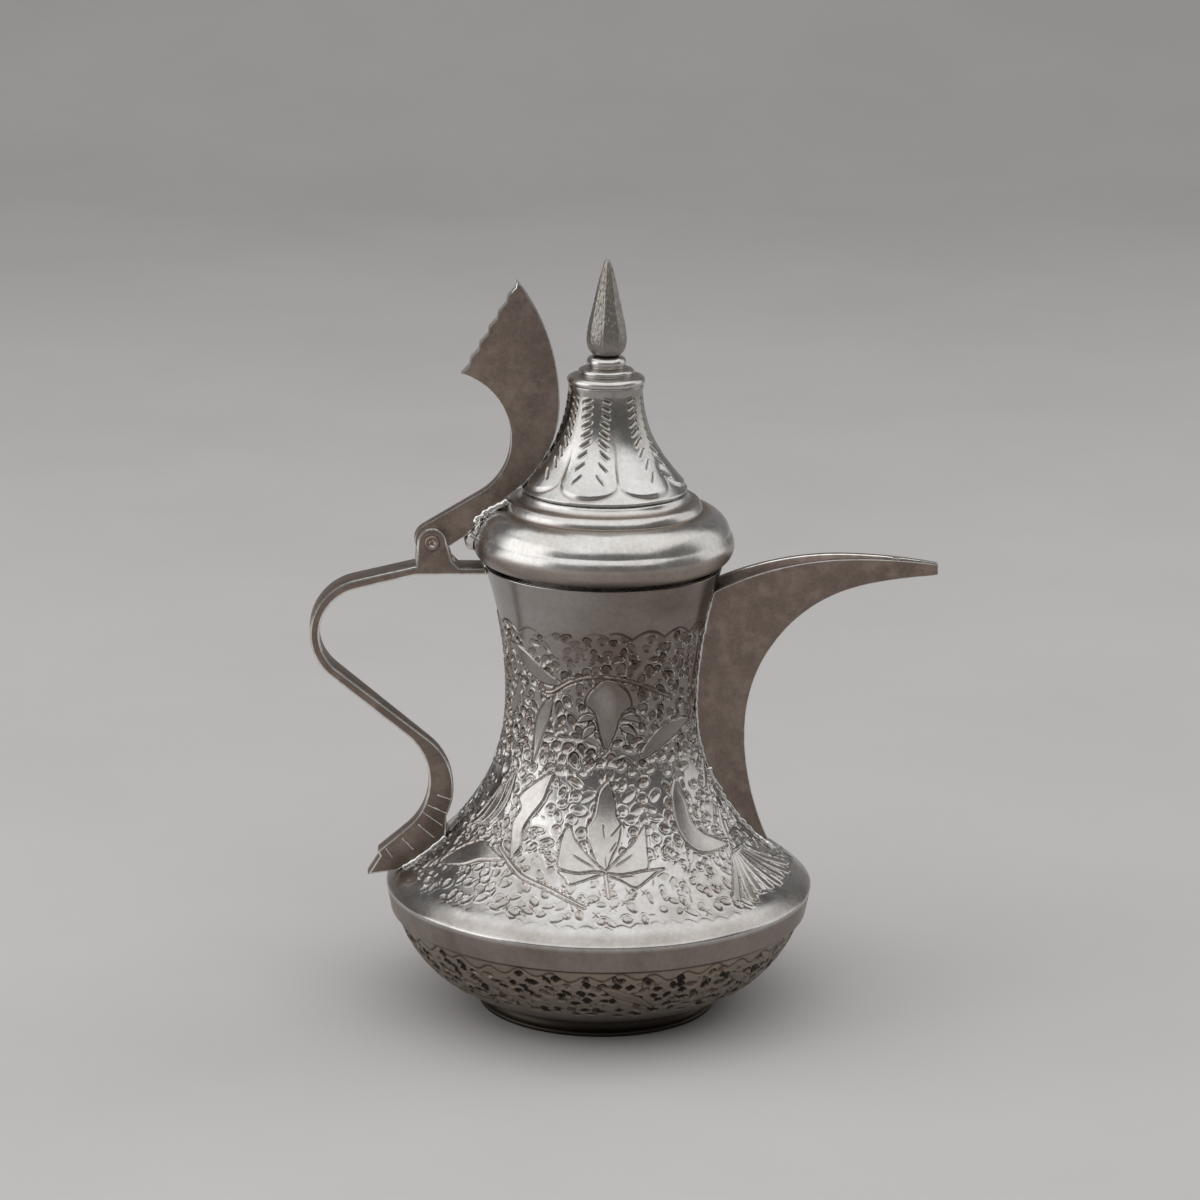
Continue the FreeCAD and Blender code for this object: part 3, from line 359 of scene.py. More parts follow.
def chased_metal(name, clean, tarnish, gloss, tarnish_and_shade_band=None, rubbed=None):
    """Worn sheet: brown dirt in the hollows, black lines, painted shade where the mesh is darkened for it,
    patches of tarnish, a band of tarnish streaks that is partly painted shade and darker on the right, and
    ridges rubbed bright.
    """
    material, tree, shader = new_material(name)
    dirt_and_shade = painted(tree, "dirt_and_shade")
    patches = ramp(tree, noise(tree, scale=60, detail=5), ((0.4, 0.0), (0.72, 0.5)))
    # a band of tarnish streaks, partly real tarnish and partly painted shade, painted at half strength on the
    # left and full on the right
    if tarnish_and_shade_band:
        streaks = noise(tree, scale=45, detail=4, rough=0.55, stretch=(1, 1, 2.5))
        streaks = ramp(tree, streaks, ((0.3, 0.78), (0.7, 1.0)))
        sided = ramp(tree, rise(tree, *TARNISH_SHADE_SIDE, "X"), ((0.0, 0.5), (1.0, 1.0)))
        zone = maths(tree, "MULTIPLY", maths(tree, "MULTIPLY", rise(tree, *tarnish_and_shade_band), streaks), sided)
        patches = maths(tree, "MAXIMUM", patches, zone)
    colour = mix(tree, patches, clean, tarnish)
    # the darkening value on the mesh, real dirt and painted shade alike, tints the metal brown and then near
    # black
    dirty_and_shaded = mix(tree, 1.0, colour, DIRT_AND_SHADE_TINT, "MULTIPLY")
    colour = mix(tree, ramp(tree, dirt_and_shade, ((0.0, 0.0), (0.5, 1.0))), colour, dirty_and_shaded)
    colour = mix(tree, ramp(tree, dirt_and_shade, ((0.5, 0.0), (1.0, 1.0))), colour, BLACK_LINES_AND_SHADE)
    if rubbed:
        colour = mix(tree, ramp(tree, painted(tree, "ridge"), ((0.5, 0.0), (0.95, 1.0))), colour, rubbed)
    speckle = ramp(tree, noise(tree, scale=900, detail=3), ((0.3, 0.8), (0.7, 1.06)))
    colour = mix(tree, 0.6, colour, speckle, "MULTIPLY")
    rough = ramp(tree, noise(tree, scale=220), ((0.3, gloss), (0.75, gloss + 0.13)))
    relief = bump(tree, noise(tree, scale=1400, detail=3), strength=0.12, distance=0.1)
    finish_metal(tree, shader, colour, mix(tree, dirt_and_shade, rough, DIRT_ROUGH), relief)
    return material


def filed_metal(name, colour, shine, rough_low, rough_high):
    """Matt filed metal with fine crossed grain, and shine rubbed on in places."""
    material, tree, shader = new_material(name)
    upright = noise(tree, scale=2600, detail=2, rough=0.7, stretch=(1, 1, 0.35))
    level = noise(tree, scale=2600, detail=2, rough=0.7, stretch=(0.35, 1, 1))
    grain = mix(tree, 0.5, upright, level)
    darker, lighter = (tuple(share * part for part in colour) for share in (0.86, 1.14))
    blotches = ramp(tree, noise(tree, scale=90, detail=5), ((0.3, darker), (0.72, lighter)))
    shade = ramp(tree, grain, ((0.3, 0.62), (0.7, 1.22)))
    base = mix(tree, 0.75, blotches, shade, "MULTIPLY")
    rubbed = ramp(tree, noise(tree, scale=260), ((0.46, 0.0), (0.66, 0.8)))
    rough = ramp(tree, grain, ((0.3, rough_low), (0.7, rough_high)))
    relief = bump(tree, grain, strength=0.25, distance=0.12)
    finish_metal(tree, shader, mix(tree, rubbed, base, shine), rough, relief)
    return material


BODY = chased_metal("chased_body", clean=(0.56, 0.55, 0.535), tarnish=(0.175, 0.137, 0.112), gloss=0.16,
                    tarnish_and_shade_band=(44, 88), rubbed=(0.56, 0.54, 0.515))
# The bowl's metal is a darker, browner copy of the body's: painted shade for the bowl, which faces down, and
# for the foot ring.
SHADED_BOWL_METAL = chased_metal("chased_bowl_shaded", clean=(0.29, 0.248, 0.208), tarnish=(0.18, 0.147, 0.12), gloss=0.28)
LID = chased_metal("burnished_lid", clean=(0.6, 0.59, 0.575), tarnish=(0.42, 0.385, 0.345), gloss=0.2)
BELL = chased_metal("fluted_bell", clean=(0.6, 0.595, 0.585), tarnish=(0.34, 0.32, 0.295), gloss=0.17,
                    tarnish_and_shade_band=(131, 147))
FINIAL = chased_metal("cast_finial", clean=(0.4, 0.392, 0.375), tarnish=(0.27, 0.26, 0.24), gloss=0.3)
PLATE = filed_metal("filed_plate", (0.25, 0.198, 0.166), (0.325, 0.265, 0.225), 0.36, 0.5)
# Bright metal for bevelled edges: real edge wear, and also a painted highlight along them.
EDGE_WEAR_AND_HIGHLIGHT = filed_metal("worn_edge_and_highlight", (0.76, 0.74, 0.7), (0.9, 0.89, 0.87), 0.13, 0.24)
SOLDER = filed_metal("solder", (0.62, 0.61, 0.59), (0.8, 0.79, 0.775), 0.16, 0.3)


# Chasing: a line's width, the limits of relief, and the shape of leaves and their outlines

LINE = 0.19
DEEPEST = -0.58
HIGHEST = 0.17
LINE_BURR = 0.3
LEAF_DIRT = 0.14
LEAF_EDGE = 0.06
LEAF_CROWN = 0.07
LEAF_BORDER = 0.06
OUTLINE_DEPTH = 0.3
OUTLINE_BURR = 0.1
OUTLINE_REACH = 1.6
KNOT_STEPS = 6
# Punch marks: pitch of their rows and along a row, how far they stray, and the share left out
ROW_PITCH, MARK_PITCH = 0.88, 1.12
STRAY_ALONG, STRAY_UP, LEFT_OUT = 0.36, 0.3, 0.1
LONG_HALF, SHORT_HALF, FORCE, DIRT_LEFT = (0.75, 1.5), (0.55, 0.95), (0.6, 1.3), (0.4, 1.5)
PUNCH_BURR = 0.42
PUNCH_RIM = 0.8
STROKE_HALF, STROKE_WIDTH, STROKE_DIRT = (0.35, 0.8), 0.16, 0.7
STAR_REACH, STAR_LIFT, STAR_WIDTH, STAR_DIRT = 0.75, 0.5, 0.15, 0.6


def distance_to_line(where, line):
    """Distance from points to a line, and the share of its length where it is nearest."""
    near = np.full(where.shape[:2], FAR)
    share = np.zeros(where.shape[:2])
    for k in range(len(line) - 1):
        step = line[k + 1] - line[k]
        along = np.clip(((where - line[k]) @ step) / (step @ step), 0, 1)
        off = np.linalg.norm(where - line[k] - along[..., None] * step, axis=-1)
        share = np.where(off < near, (k + along) / (len(line) - 1), share)
        near = np.minimum(near, off)
    return near, share


class Face:
    """The outer face of a turned piece, from one row down to another, for the chaser's tools."""

    def __init__(self, grid, low, high):
        self.grid = grid
        self.low = low
        self.high = high
        self.radius = grid.rows[low:high, 0]
        self.z = grid.rows[low:high, 1]
        self.length = lengths(grid.rows[low:high])

    def radius_at(self, z):
        return np.interp(-np.asarray(z, float), -self.z, self.radius)

    def at(self, angle, z):
        turn = np.radians(angle)
        x, y = self.radius_at(z) * np.sin(turn), -self.radius_at(z) * np.cos(turn)
        return np.stack([x, y, np.asarray(z, float) + 0 * turn], -1)

    def down(self, z):
        """Length down the face at which it has a height."""
        return np.interp(-np.asarray(z, float), -self.z, self.length)

    def z_at(self, length):
        return np.interp(length, self.length, self.z)

    def window(self, points, reach):
        """Row and column numbers of the grid near some points, as arrays that index it."""
        low_z, high_z = points[:, 2].min() - reach, points[:, 2].max() + reach
        rows = self.low + np.nonzero((self.z > low_z) & (self.z < high_z))[0]
        middle = points[:, :2].mean(0)
        facing = math.atan2(middle[0], -middle[1])
        spread = (np.arctan2(points[:, 0], -points[:, 1]) - facing + math.pi) % (2 * math.pi) - math.pi
        margin = reach / np.hypot(points[:, 0], points[:, 1]).min() * 1.3
        step = 2 * math.pi / self.grid.columns
        first = math.floor((facing + spread.min() - margin) / step)
        last = math.ceil((facing + spread.max() + margin) / step)
        return rows[:, None], (np.arange(first, last + 1) % self.grid.columns)[None, :]

    def stain_and_shade(self, dirt):
        """Darkens the whole face with dirt, and with painted shade, where it has less."""
        dirt_and_shade = self.grid.dirt_and_shade[self.low:self.high]
        dirt_and_shade[:] = np.maximum(dirt_and_shade, dirt)

    def sink(self, rows, columns, cut, dirt):
        """Cuts the surface deeper, and leaves dirt there; through it a punch also paints shade along its
        upper rim.
        """
        grid = self.grid
        old = grid.height[rows, columns]
        grid.height[rows, columns] = np.maximum(old - cut, np.minimum(old, DEEPEST))
        grid.dirt_and_shade[rows, columns] = np.maximum(grid.dirt_and_shade[rows, columns], dirt)

    def push_up(self, rows, columns, burr):
        """Raises the metal that a tool pushed aside."""
        grid = self.grid
        old = grid.height[rows, columns]
        grid.height[rows, columns] = np.minimum(old + burr, np.maximum(old, HIGHEST))

    def groove(self, path, depth, width, dirt):
        """One chased line, which fades at its ends and has a burr on both sides."""
        line = self.at(*smooth_path(path, 12).T)
        rows, columns = self.window(line, 4 * width)
        near, share = distance_to_line(self.grid.points[rows, columns], line)
        firm = 1 - 0.8 * (2 * share - 1)**4
        cut = firm * hump(near, width)
        self.push_up(rows, columns, LINE_BURR * depth * firm * hump(near - 2 * width, 0.8 * width))
        self.sink(rows, columns, depth * cut, dirt * cut)

    def stroke(self, angle, z, reach, lift, depth, width, dirt):
        """A short straight cut, by its middle and the reach of one end round the pot and upward."""
        spread = math.degrees(reach / self.radius_at(z))
        self.groove([(angle - spread, z - lift), (angle + spread, z + lift)], depth, width, dirt)

    def outline_distance(self, corners):
        """Signed distance to a closed outline, negative inside it."""
        knots = np.asarray(corners, float)
        around = np.vstack([knots[-1:], knots, knots[:2]])
        ring = smooth_path(around, KNOT_STEPS * (len(knots) + 2) + 1)[KNOT_STEPS:-KNOT_STEPS]
        edge = self.at(*ring.T)
        rows, columns = self.window(edge, OUTLINE_REACH)
        near, _ = distance_to_line(self.grid.points[rows, columns], edge)
        middle = knots[:, 0].mean()
        angle = (self.grid.angle[columns] - middle + 180) % 360 - 180 + middle + 0 * rows
        height = self.grid.rows[rows, 1] + 0 * columns
        inside = np.zeros(near.shape, bool)
        for (a0, z0), (a1, z1) in zip(ring[:-1], ring[1:]):
            crosses = (z0 > height) != (z1 > height)
            inside ^= crosses & (angle < (a1 - a0) * (height - z0) / (z1 - z0 + TINY) + a0)
        return rows, columns, np.where(inside, -near, near)

    def ribbon_distance(self, shape, width, path):
        """Signed distance to the edge of a leaf, petal or stem along a line."""
        line = self.at(*smooth_path(path).T)
        rows, columns = self.window(line, OUTLINE_REACH + width / 2)
        near, share = distance_to_line(self.grid.points[rows, columns], line)
        half = width / 2
        if shape == "leaf":
            half = half * np.sin(np.pi * share**0.8)**0.85
        elif shape == "petal":
            half = half * (0.35 + 0.65 * share)
        return rows, columns, near - half

    def carve(self, shape, width, path):
        """Clears the ground under a form, crowns it, and cuts its outline with a raised burr."""
        if shape == "outline":
            rows, columns, edge = self.outline_distance(path)
        else:
            rows, columns, edge = self.ribbon_distance(shape, width, path)
        inside = 1 / (1 + np.exp(np.clip(edge / LEAF_EDGE, -30, 30)))
        crown = LEAF_CROWN * smoothstep(-edge, 0, 1.4) + LEAF_BORDER * hump(edge + 0.5, 0.2)
        for layer, level in ((self.grid.height, crown), (self.grid.dirt_and_shade, LEAF_DIRT)):
            layer[rows, columns] = layer[rows, columns] * (1 - inside) + level * inside
        self.push_up(rows, columns, OUTLINE_BURR * hump(edge - 2 * LINE, LINE))
        self.sink(rows, columns, OUTLINE_DEPTH * hump(edge, LINE), 0.5 * hump(edge, LINE))

    def punch(self, angle, z, turn, long_half, short_half, depth, dirt):
        """One oval hollow, deepest under its upper rim, with dirt left in it and painted shade along that
        upper rim.
        """
        centre = self.at(angle, z)
        rows, columns = self.window(centre[None], long_half + 0.6)
        if rows.size == 0:
            return
        facing = math.radians(angle)
        across = np.array([math.cos(facing), math.sin(facing), 0])
        normal = self.grid.normals[rows[len(rows) // 2, 0], columns[0, columns.shape[1] // 2]]
        offset = self.grid.points[rows, columns] - centre
        x, y = offset @ across, offset @ np.cross(normal, across)
        c, s = math.cos(turn), math.sin(turn)
        q = np.hypot((c * x + s * y) / long_half, (c * y - s * x) / short_half)
        wall = (q - 1) * (long_half + short_half) / 2
        rim = hump(wall, LINE) * smoothstep(y / np.maximum(np.hypot(x, y), TINY), -0.3, 0.6)
        hollow = np.clip(1 - q**2.5, 0, 1)
        self.push_up(rows, columns, PUNCH_BURR * depth * hump(wall - 2 * LINE, LINE))
        cut = depth * np.maximum(hollow, PUNCH_RIM * rim)
        # the darkening along the upper rim is dirt in the deepest cut and also painted shade of the upper
        # wall
        self.sink(rows, columns, cut, dirt * np.maximum(hollow, 2 * rim))

    def punched_ground(self, low_z, high_z, pitch, strength, size, depth, dirt):
        """Rows of hollows over a band of the face, as strong as strength(angle, z) says."""
        start, end = self.down(high_z), self.down(low_z)
        lines = int((end - start) / (pitch * ROW_PITCH))
        for line in range(lines + 1):
            line_z = self.z_at(start + (end - start) * line / lines)
            count = int(2 * math.pi * self.radius_at(line_z) / (pitch * MARK_PITCH))
            for k in range(count):
                angle = (k + 0.5 * (line % 2) + rng.uniform(-STRAY_ALONG, STRAY_ALONG)) * 360 / count
                z = line_z + rng.uniform(-STRAY_UP, STRAY_UP) * pitch
                turn = rng.uniform(0, math.pi)
                long_half = size * rng.uniform(*LONG_HALF)
                short_half = size * rng.uniform(*SHORT_HALF)
                deep = depth * rng.uniform(*FORCE) * strength(angle, z) * (rng.uniform() > LEFT_OUT)
                left = dirt * rng.uniform(*DIRT_LEFT)
                if deep > 0:
                    self.punch(angle, z, turn, long_half, short_half, deep, left)

    def random_place(self, low_z, high_z):
        angle = rng.uniform(0, 360)
        return angle, self.z_at(rng.uniform(self.down(high_z), self.down(low_z)))

    def scattered_strokes(self, count, low_z, high_z, strength, depth):
        """Short cuts of the chisel between the hollows."""
        for _ in range(count):
            angle, z = self.random_place(low_z, high_z)
            turn = rng.uniform(0, 2 * math.pi)
            half = rng.uniform(*STROKE_HALF)
            deep = depth * strength(angle, z)
            if deep > 0:
                reach, lift = half * math.cos(turn), half * math.sin(turn)
                self.stroke(angle, z, reach, lift, deep, STROKE_WIDTH, STROKE_DIRT)

    def scattered_stars(self, count, low_z, high_z, strength, depth):
        """Small crosses struck in the gaps of the ground."""
        for _ in range(count):
            angle, z = self.random_place(low_z, high_z)
            for lift in (-STAR_LIFT, STAR_LIFT):
                if strength(angle, z) > 0:
                    self.stroke(angle, z, STAR_REACH, lift, depth, STAR_WIDTH, STAR_DIRT)


def mirrored(path):
    """The same line on the far side of the pot."""
    return [(180 - angle, z) for angle, z in path]


# The pot's side

SHEET = 1.0
MOUTH = (28.1, 108.0)
WAIST = (22.7, 75.5)
BELLY = (51.0, 30.0)
RIM_CURVE = 17.6
RIM_SLOPE = 40.2
SKIRT = (49.8, 23.7)
STRAINER_HOLES = [59.0 + 8.0 * k for k in range(5)]
STRAINER_RADIUS = 2.1
DRILL_LENGTH = 1.2 * WAIST[0]

# Chased forms, as lines through places on the side: angle and height
ARCH = [
    (-38.4, 81.4), (-33.4, 81.9), (-22.2, 84.8), (-11.1, 86.2), (1.1, 86.3), (12.9, 85.1), (24, 83.3),
    (39, 80.4),
]
HOOD = [
    (-1.2, 85.8), (-7.3, 84.2), (-11.8, 82), (-13.6, 79.8), (-10.4, 78.6), (-7.4, 77.2), (-6, 74.8),
    (-3.8, 71.4), (-0.9, 68.9), (2.1, 70.5), (5.3, 73.4), (7.2, 76.4), (10.4, 78), (14, 79), (13.8, 80.8),
    (10.6, 83.2), (4.6, 85.2),
]
HOOD_LEAVES = (
    [(-7.4, 76.6), (-13, 76.4), (-19, 75)],
    [(-7, 74.4), (-12, 73), (-15.4, 71)],
    [(8.4, 76.4), (15, 76.4), (21.3, 74.6)],
    [(7.4, 74.2), (13, 73.4), (18.4, 71.4)],
)
BUD = [(-14.6, 70.2), (-14.4, 67.7), (-11.9, 65.9), (-8.8, 65.5), (-3.6, 67.1), (1, 68.8), (4.9, 71.3)]
PALMETTE_TONGUE = [
    (-1.3, 43.2), (-4, 44.6), (-7, 47), (-9.2, 49.4), (-9.6, 52), (-7, 54.2), (-5.9, 56.6), (-4.6, 59.3),
    (-2, 61), (1, 61.8), (3, 59.3), (4.2, 56.4), (4.6, 54), (6.2, 52), (4.8, 48.8), (1.6, 46),
]
PALMETTE_LOBES = (
    [(-1.3, 43.1), (-6, 45.1), (-9.8, 46.9), (-14.5, 49.2), (-17.9, 51.9), (-20.5, 49.8), (-20.7, 46.7),
     (-20.2, 44), (-16.5, 43), (-11.7, 42.8), (-6, 43.2)],
    [(-0.9, 43.4), (2.6, 45.1), (6.1, 46.7), (10.6, 48.5), (14.8, 50.5), (17.7, 51.9), (17.6, 49.6),
     (16.7, 46.6), (15.6, 43.6), (12.3, 43.1), (6.3, 42.7), (1.5, 42.6)],
    [(-0.9, 42.8), (4.2, 41.4), (9, 40.1), (13.7, 41.2), (18.6, 42.6), (21.6, 43.1), (12.3, 43), (6.3, 42.5)],
    [(-1.6, 42.9), (-5.9, 42.1), (-10.3, 41.2), (-14.1, 40.6), (-16.7, 41.7), (-19.2, 43), (-11.7, 42.7),
     (-6, 43.1)],
)
PALMETTE_STROKES = (
    [(-15.2, 46.2), (-5.3, 43.8)], [(10.4, 46.3), (1.8, 44)], [(-2.3, 52.2), (-1.4, 49.3)],
    [(-8.5, 49.2), (-6.3, 47)], [(6.2, 52.3), (1.1, 49.8)], [(3.5, 48.7), (0.5, 46.8)],
    [(-1.3, 46), (-1.1, 43.6)], [(10, 42.3), (2.5, 42.2)],
)
LEFT_LEAF = [
    (-30.6, 62.8), (-40.3, 60.2), (-48.9, 56.2), (-45.7, 53.8), (-47.5, 50.5), (-44.1, 46.5), (-41.6, 44),
    (-39.8, 43), (-39.7, 44.2), (-38.5, 46.5), (-40.2, 49.6), (-38, 52.7), (-33.5, 56.4), (-32.1, 59.2),
]
LOW_LEFT_LEAF = [
    (-72.8, 38.3), (-69, 42), (-60.1, 45), (-54.9, 44.9), (-47.7, 44), (-44, 43.2), (-48, 42.5),
    (-54.7, 41.6), (-61.5, 39.6),
]
RIGHT_LEAF = [
    (40.2, 60.8), (36, 57.8), (34, 53.8), (33.7, 49.8), (36.1, 46.5), (41, 44.5), (48.1, 44), (58.7, 44.2),
    (53.4, 46.1), (47.3, 48.1), (44.1, 51), (45, 55.4), (41.9, 59.3),
]
FAN_ENDS = (
    (84.2, 35), (43.5, 35.6), (77.6, 34.6), (49.6, 34.8), (71.3, 35), (55, 35.6), (65.8, 34.6), (60.3, 35),
)
FAN_MIDDLE, FAN_ROOT, FAN_BEND, FAN_SPREAD = 60.0, 42.0, 39.4, 0.22


def fan_petal(angle, z):
    """The line of a petal from the fan's root to its end."""
    root = FAN_MIDDLE + FAN_SPREAD * (angle - FAN_MIDDLE)
    return [(root, FAN_ROOT), ((FAN_MIDDLE + angle) / 2, FAN_BEND), (angle, z)]


# Kind, width and line of each form, in the order of cutting
FORMS = [
    ("leaf", 3.4, [(-34, 80.6), (-40.2, 75.6), (-43.6, 70.8), (-45.3, 63.6)]),
    ("leaf", 4.2, [(-67.7, 91.8), (-53.7, 88.6), (-39.6, 85.1), (-25.2, 83.8)]),
    ("leaf", 4.4, [(18.4, 66.2), (33.1, 70.6), (48, 72.6), (64, 73.4)]),
    ("stem", 0.9, ARCH),
    ("outline", 0, HOOD),
    *(("leaf", 2.0, leaf) for leaf in HOOD_LEAVES),
    ("outline", 0, LEFT_LEAF),
    ("outline", 0, LOW_LEFT_LEAF),
    ("stem", 1.1, [(-48.6, 45.2), (-40, 42.9), (-33.4, 41.2), (-26.3, 40.2), (-20, 39.3), (-8.6, 36.9)]),
    *(("petal", 2.5, fan_petal(*end)) for end in FAN_ENDS),
    ("outline", 0, RIGHT_LEAF),
    ("outline", 0, PALMETTE_TONGUE),
    *(("outline", 0, lobe) for lobe in PALMETTE_LOBES),
    ("stem", 0.8, [(-1.3, 42.6), (-0.9, 40.6), (-0.5, 38.6)]),
    ("leaf", 2.0, [(61, 44.8), (65, 48), (71, 51.6)]),
    ("leaf", 2.0, [(62, 44.6), (68, 45.2), (76, 45.6)]),
    ("leaf", 2.2, [(-74, 46.4), (-68.6, 51), (-64.4, 57)]),
    ("leaf", 2.2, [(-68, 47.2), (-63, 52.6), (-60.2, 60)]),
    ("leaf", 2.2, [(-61.6, 48), (-57.4, 54), (-56.2, 62)]),
    ("leaf", 2.4, [(-71, 73), (-65, 78), (-60, 84)]),
    ("leaf", 2.6, [(62, 80), (66, 87), (64, 94)]),
    ("leaf", 2.4, [(76, 62), (70, 58), (62, 56)]),
]
# Bands of punched ground: lowest and highest place, pitch, size, depth and dirt
GROUND_BANDS = (
    (33.8, 46, 2.9, 1.08, 0.24, 0.2),
    (46, 66, 2.9, 1.22, 0.42, 0.3),
    (66, 97.4, 2.7, 1.18, 0.44, 0.48),
)
GROUND_SUNK, GROUND_EDGE = 0.05, 0.6
TOP_BORDER, BOTTOM_BORDER, BORDER_WIDTH, BORDER_DRIFT = 95.2, 33.4, 0.24, 0.4
SCALLOP, FIRST_SCALLOP, SCALLOP_RISE = 19.4, 2.7, 1.8
BORDER_GAPS = (0.9, 0.7)
LIGHT_SIDE, LIGHT_REACH, LIGHT_SHARE, LIGHT_FROM = -25, 30, 0.65, (82, 92)


def top_border(angle):
    """Height of the scalloped line under the plain neck."""
    scallop = np.abs(np.cos(np.radians((angle - FIRST_SCALLOP) * 180 / SCALLOP)))
    return TOP_BORDER + SCALLOP_RISE * scallop + BORDER_DRIFT * wave(angle, 3, 40)


def bottom_border(angle):
    """Height of the faint line over the skirt."""
    return BOTTOM_BORDER + 0.6 * np.abs(wave(angle, 36)) + BORDER_DRIFT * wave(angle, 7)


def struck(angle, z):
    """How hard the ground was struck: lightly on the left of the neck, and not outside the borders."""
    aside = (angle - LIGHT_SIDE + 180) % 360 - 180
    lightly = smoothstep(z, *LIGHT_FROM) * hump(aside, LIGHT_REACH)
    inside = (z < top_border(angle) - BORDER_GAPS[0]) & (z > bottom_border(angle) + BORDER_GAPS[1])
    return (1 - LIGHT_SHARE * lightly) * inside


def drill(piece, heights, radius):
    """Cuts round holes towards the spout through a wall."""
    shape = bmesh.new()
    for z in heights:
        place = Matrix.Translation(Vector((WAIST[0], 0, z)) * MM) @ Matrix.Rotation(math.pi / 2, 4, "Y")
        bmesh.ops.create_cone(shape, cap_ends=True, segments=40, radius1=radius * MM, radius2=radius * MM,
                              depth=DRILL_LENGTH * MM, matrix=place)
    tool_mesh = bpy.data.meshes.new("drill")
    shape.to_mesh(tool_mesh)
    shape.free()
    tool = link("drill", tool_mesh)
    cut = piece.modifiers.new("holes", "BOOLEAN")
    cut.object = tool
    cut.operation = "DIFFERENCE"
    cut.solver = "MANIFOLD"
    drilled = modified_mesh(piece)
    piece.modifiers.clear()
    solid = piece.data
    piece.data = drilled
    bpy.data.meshes.remove(solid)
    bpy.data.objects.remove(tool)
    bpy.data.meshes.remove(tool_mesh)


def make_waist_shell():
    """Neck, waist, shoulder and skirt in one chased sheet. Gives back its outer face."""
    neck = ((MOUTH[0] - WAIST[0])**2 + (MOUTH[1] - WAIST[1])**2) / (2 * (MOUTH[0] - WAIST[0]))
    slope = math.radians(RIM_SLOPE)
    rim_centre = (BELLY[0] - RIM_CURVE * math.cos(slope), BELLY[1] - RIM_CURVE * math.sin(slope))
    out, drop = rim_centre[0] - WAIST[0], WAIST[1] - rim_centre[1]
    flare = (out**2 + drop**2 - RIM_CURVE**2) / (2 * (RIM_CURVE + out))
    flare_angle = math.degrees(math.asin(drop / (flare + RIM_CURVE)))
    neck_centre = (WAIST[0] + neck, WAIST[1])
    flare_centre = (WAIST[0] + flare, WAIST[1])

    def mouth_angle(radius):
        return 180 - math.degrees(math.asin((MOUTH[1] - WAIST[1]) / radius))

    fine = soften(join(
        arc(neck_centre, neck, mouth_angle(neck), 180),
        arc(flare_centre, flare, 180, 180 + flare_angle),
        arc(rim_centre, RIM_CURVE, flare_angle, RIM_SLOPE),
        [SKIRT, (SKIRT[0] - SHEET, SKIRT[1])],
        arc(rim_centre, RIM_CURVE - SHEET, RIM_SLOPE, flare_angle),
        arc(flare_centre, flare + SHEET, 180 + flare_angle, 180),
        arc(neck_centre, neck + SHEET, 180, mouth_angle(neck + SHEET))), reach=0.22)
    chased_top, chased_low, lip = 99.0, 32.4, 107.2
    chased_step, edge_step, plain_step, inside_step = 0.22, 0.24, 0.6, 3.0
    height = fine[:, 1]
    outside = np.arange(len(fine)) < np.argmin(height)
    chased = outside & (height < chased_top) & (height > chased_low)
    edge = (height > lip) | (height < chased_low)
    steps = np.select([chased, edge, outside], [chased_step, edge_step, plain_step], inside_step)
    grid = Turned(thin(fine, steps), columns=1152)
    face = Face(grid, 0, int(np.argmin(grid.rows[:, 1])))
    angle = grid.angle[None, :]
    length = face.length[:, None]
    top = face.down(top_border(angle))
    bottom = face.down(bottom_border(angle))
    ground = smoothstep(length - top, 0, GROUND_EDGE) * smoothstep(bottom - length, 0, GROUND_EDGE)
    grid.height[:face.high] = -GROUND_SUNK * ground
    for low_z, high_z, pitch, size, depth, dirt in GROUND_BANDS:
        face.punched_ground(low_z, high_z, pitch, struck, size, depth, dirt)
    face.scattered_strokes(800, low_z=34.2, high_z=97, strength=struck, depth=0.22)
    face.scattered_stars(110, low_z=34.6, high_z=46, strength=struck, depth=0.2)
    for shape, width, path in FORMS:
        face.carve(shape, width, path)
        face.carve(shape, width, mirrored(path))
    for path in (BUD, *PALMETTE_STROKES):
        face.groove(path, depth=0.2, width=LINE, dirt=0.7)
        face.groove(mirrored(path), depth=0.2, width=LINE, dirt=0.7)
    # the scalloped line is faint on the left of the neck, and the lower one everywhere
    firm = 0.3 + 0.7 * smoothstep(struck(angle, top_border(angle) - 1), 0.4, 0.95)
    broken = smoothstep(wave(angle, 5) + wave(angle, 13, 50), -0.6, 0.6)
    for line, depth in ((top, 0.3 * firm), (bottom, 0.08 * broken)):
        cut = depth * hump(length - line, BORDER_WIDTH)
        grid.height[:face.high] -= cut
        face.stain_and_shade(2.8 * cut)
    # painted shade on the plain band below the chasing, none on the rounded edge under it so that edge stays
    # bright, and painted shade on the skirt below that edge
    band_shade_top, band_shade_foot, skirt_shade_top = (33.0, 31.6), (30.2, 30.7), (29.8, 28.6)
    z = face.z[:, None]
    face.stain_and_shade(0.24 * fall(z, *band_shade_top) * smoothstep(z, *band_shade_foot))
    face.stain_and_shade(0.58 * fall(z, *skirt_shade_top))
    # the sheet was hammered by hand, so it is nowhere quite true
    waves = ((5, 20, 7.0), (9, 130, 4.1), (14, 250, 3.0), (3, 300, 11.0))
    grid.hammer(slice(face.low, face.high), length, 0.02, waves)
    piece = finish_turned(grid, "chased_waist_shell", BODY, "waist_shell", "pot")
    drill(piece, STRAINER_HOLES, STRAINER_RADIUS)
    return face


pot_side = make_waist_shell()


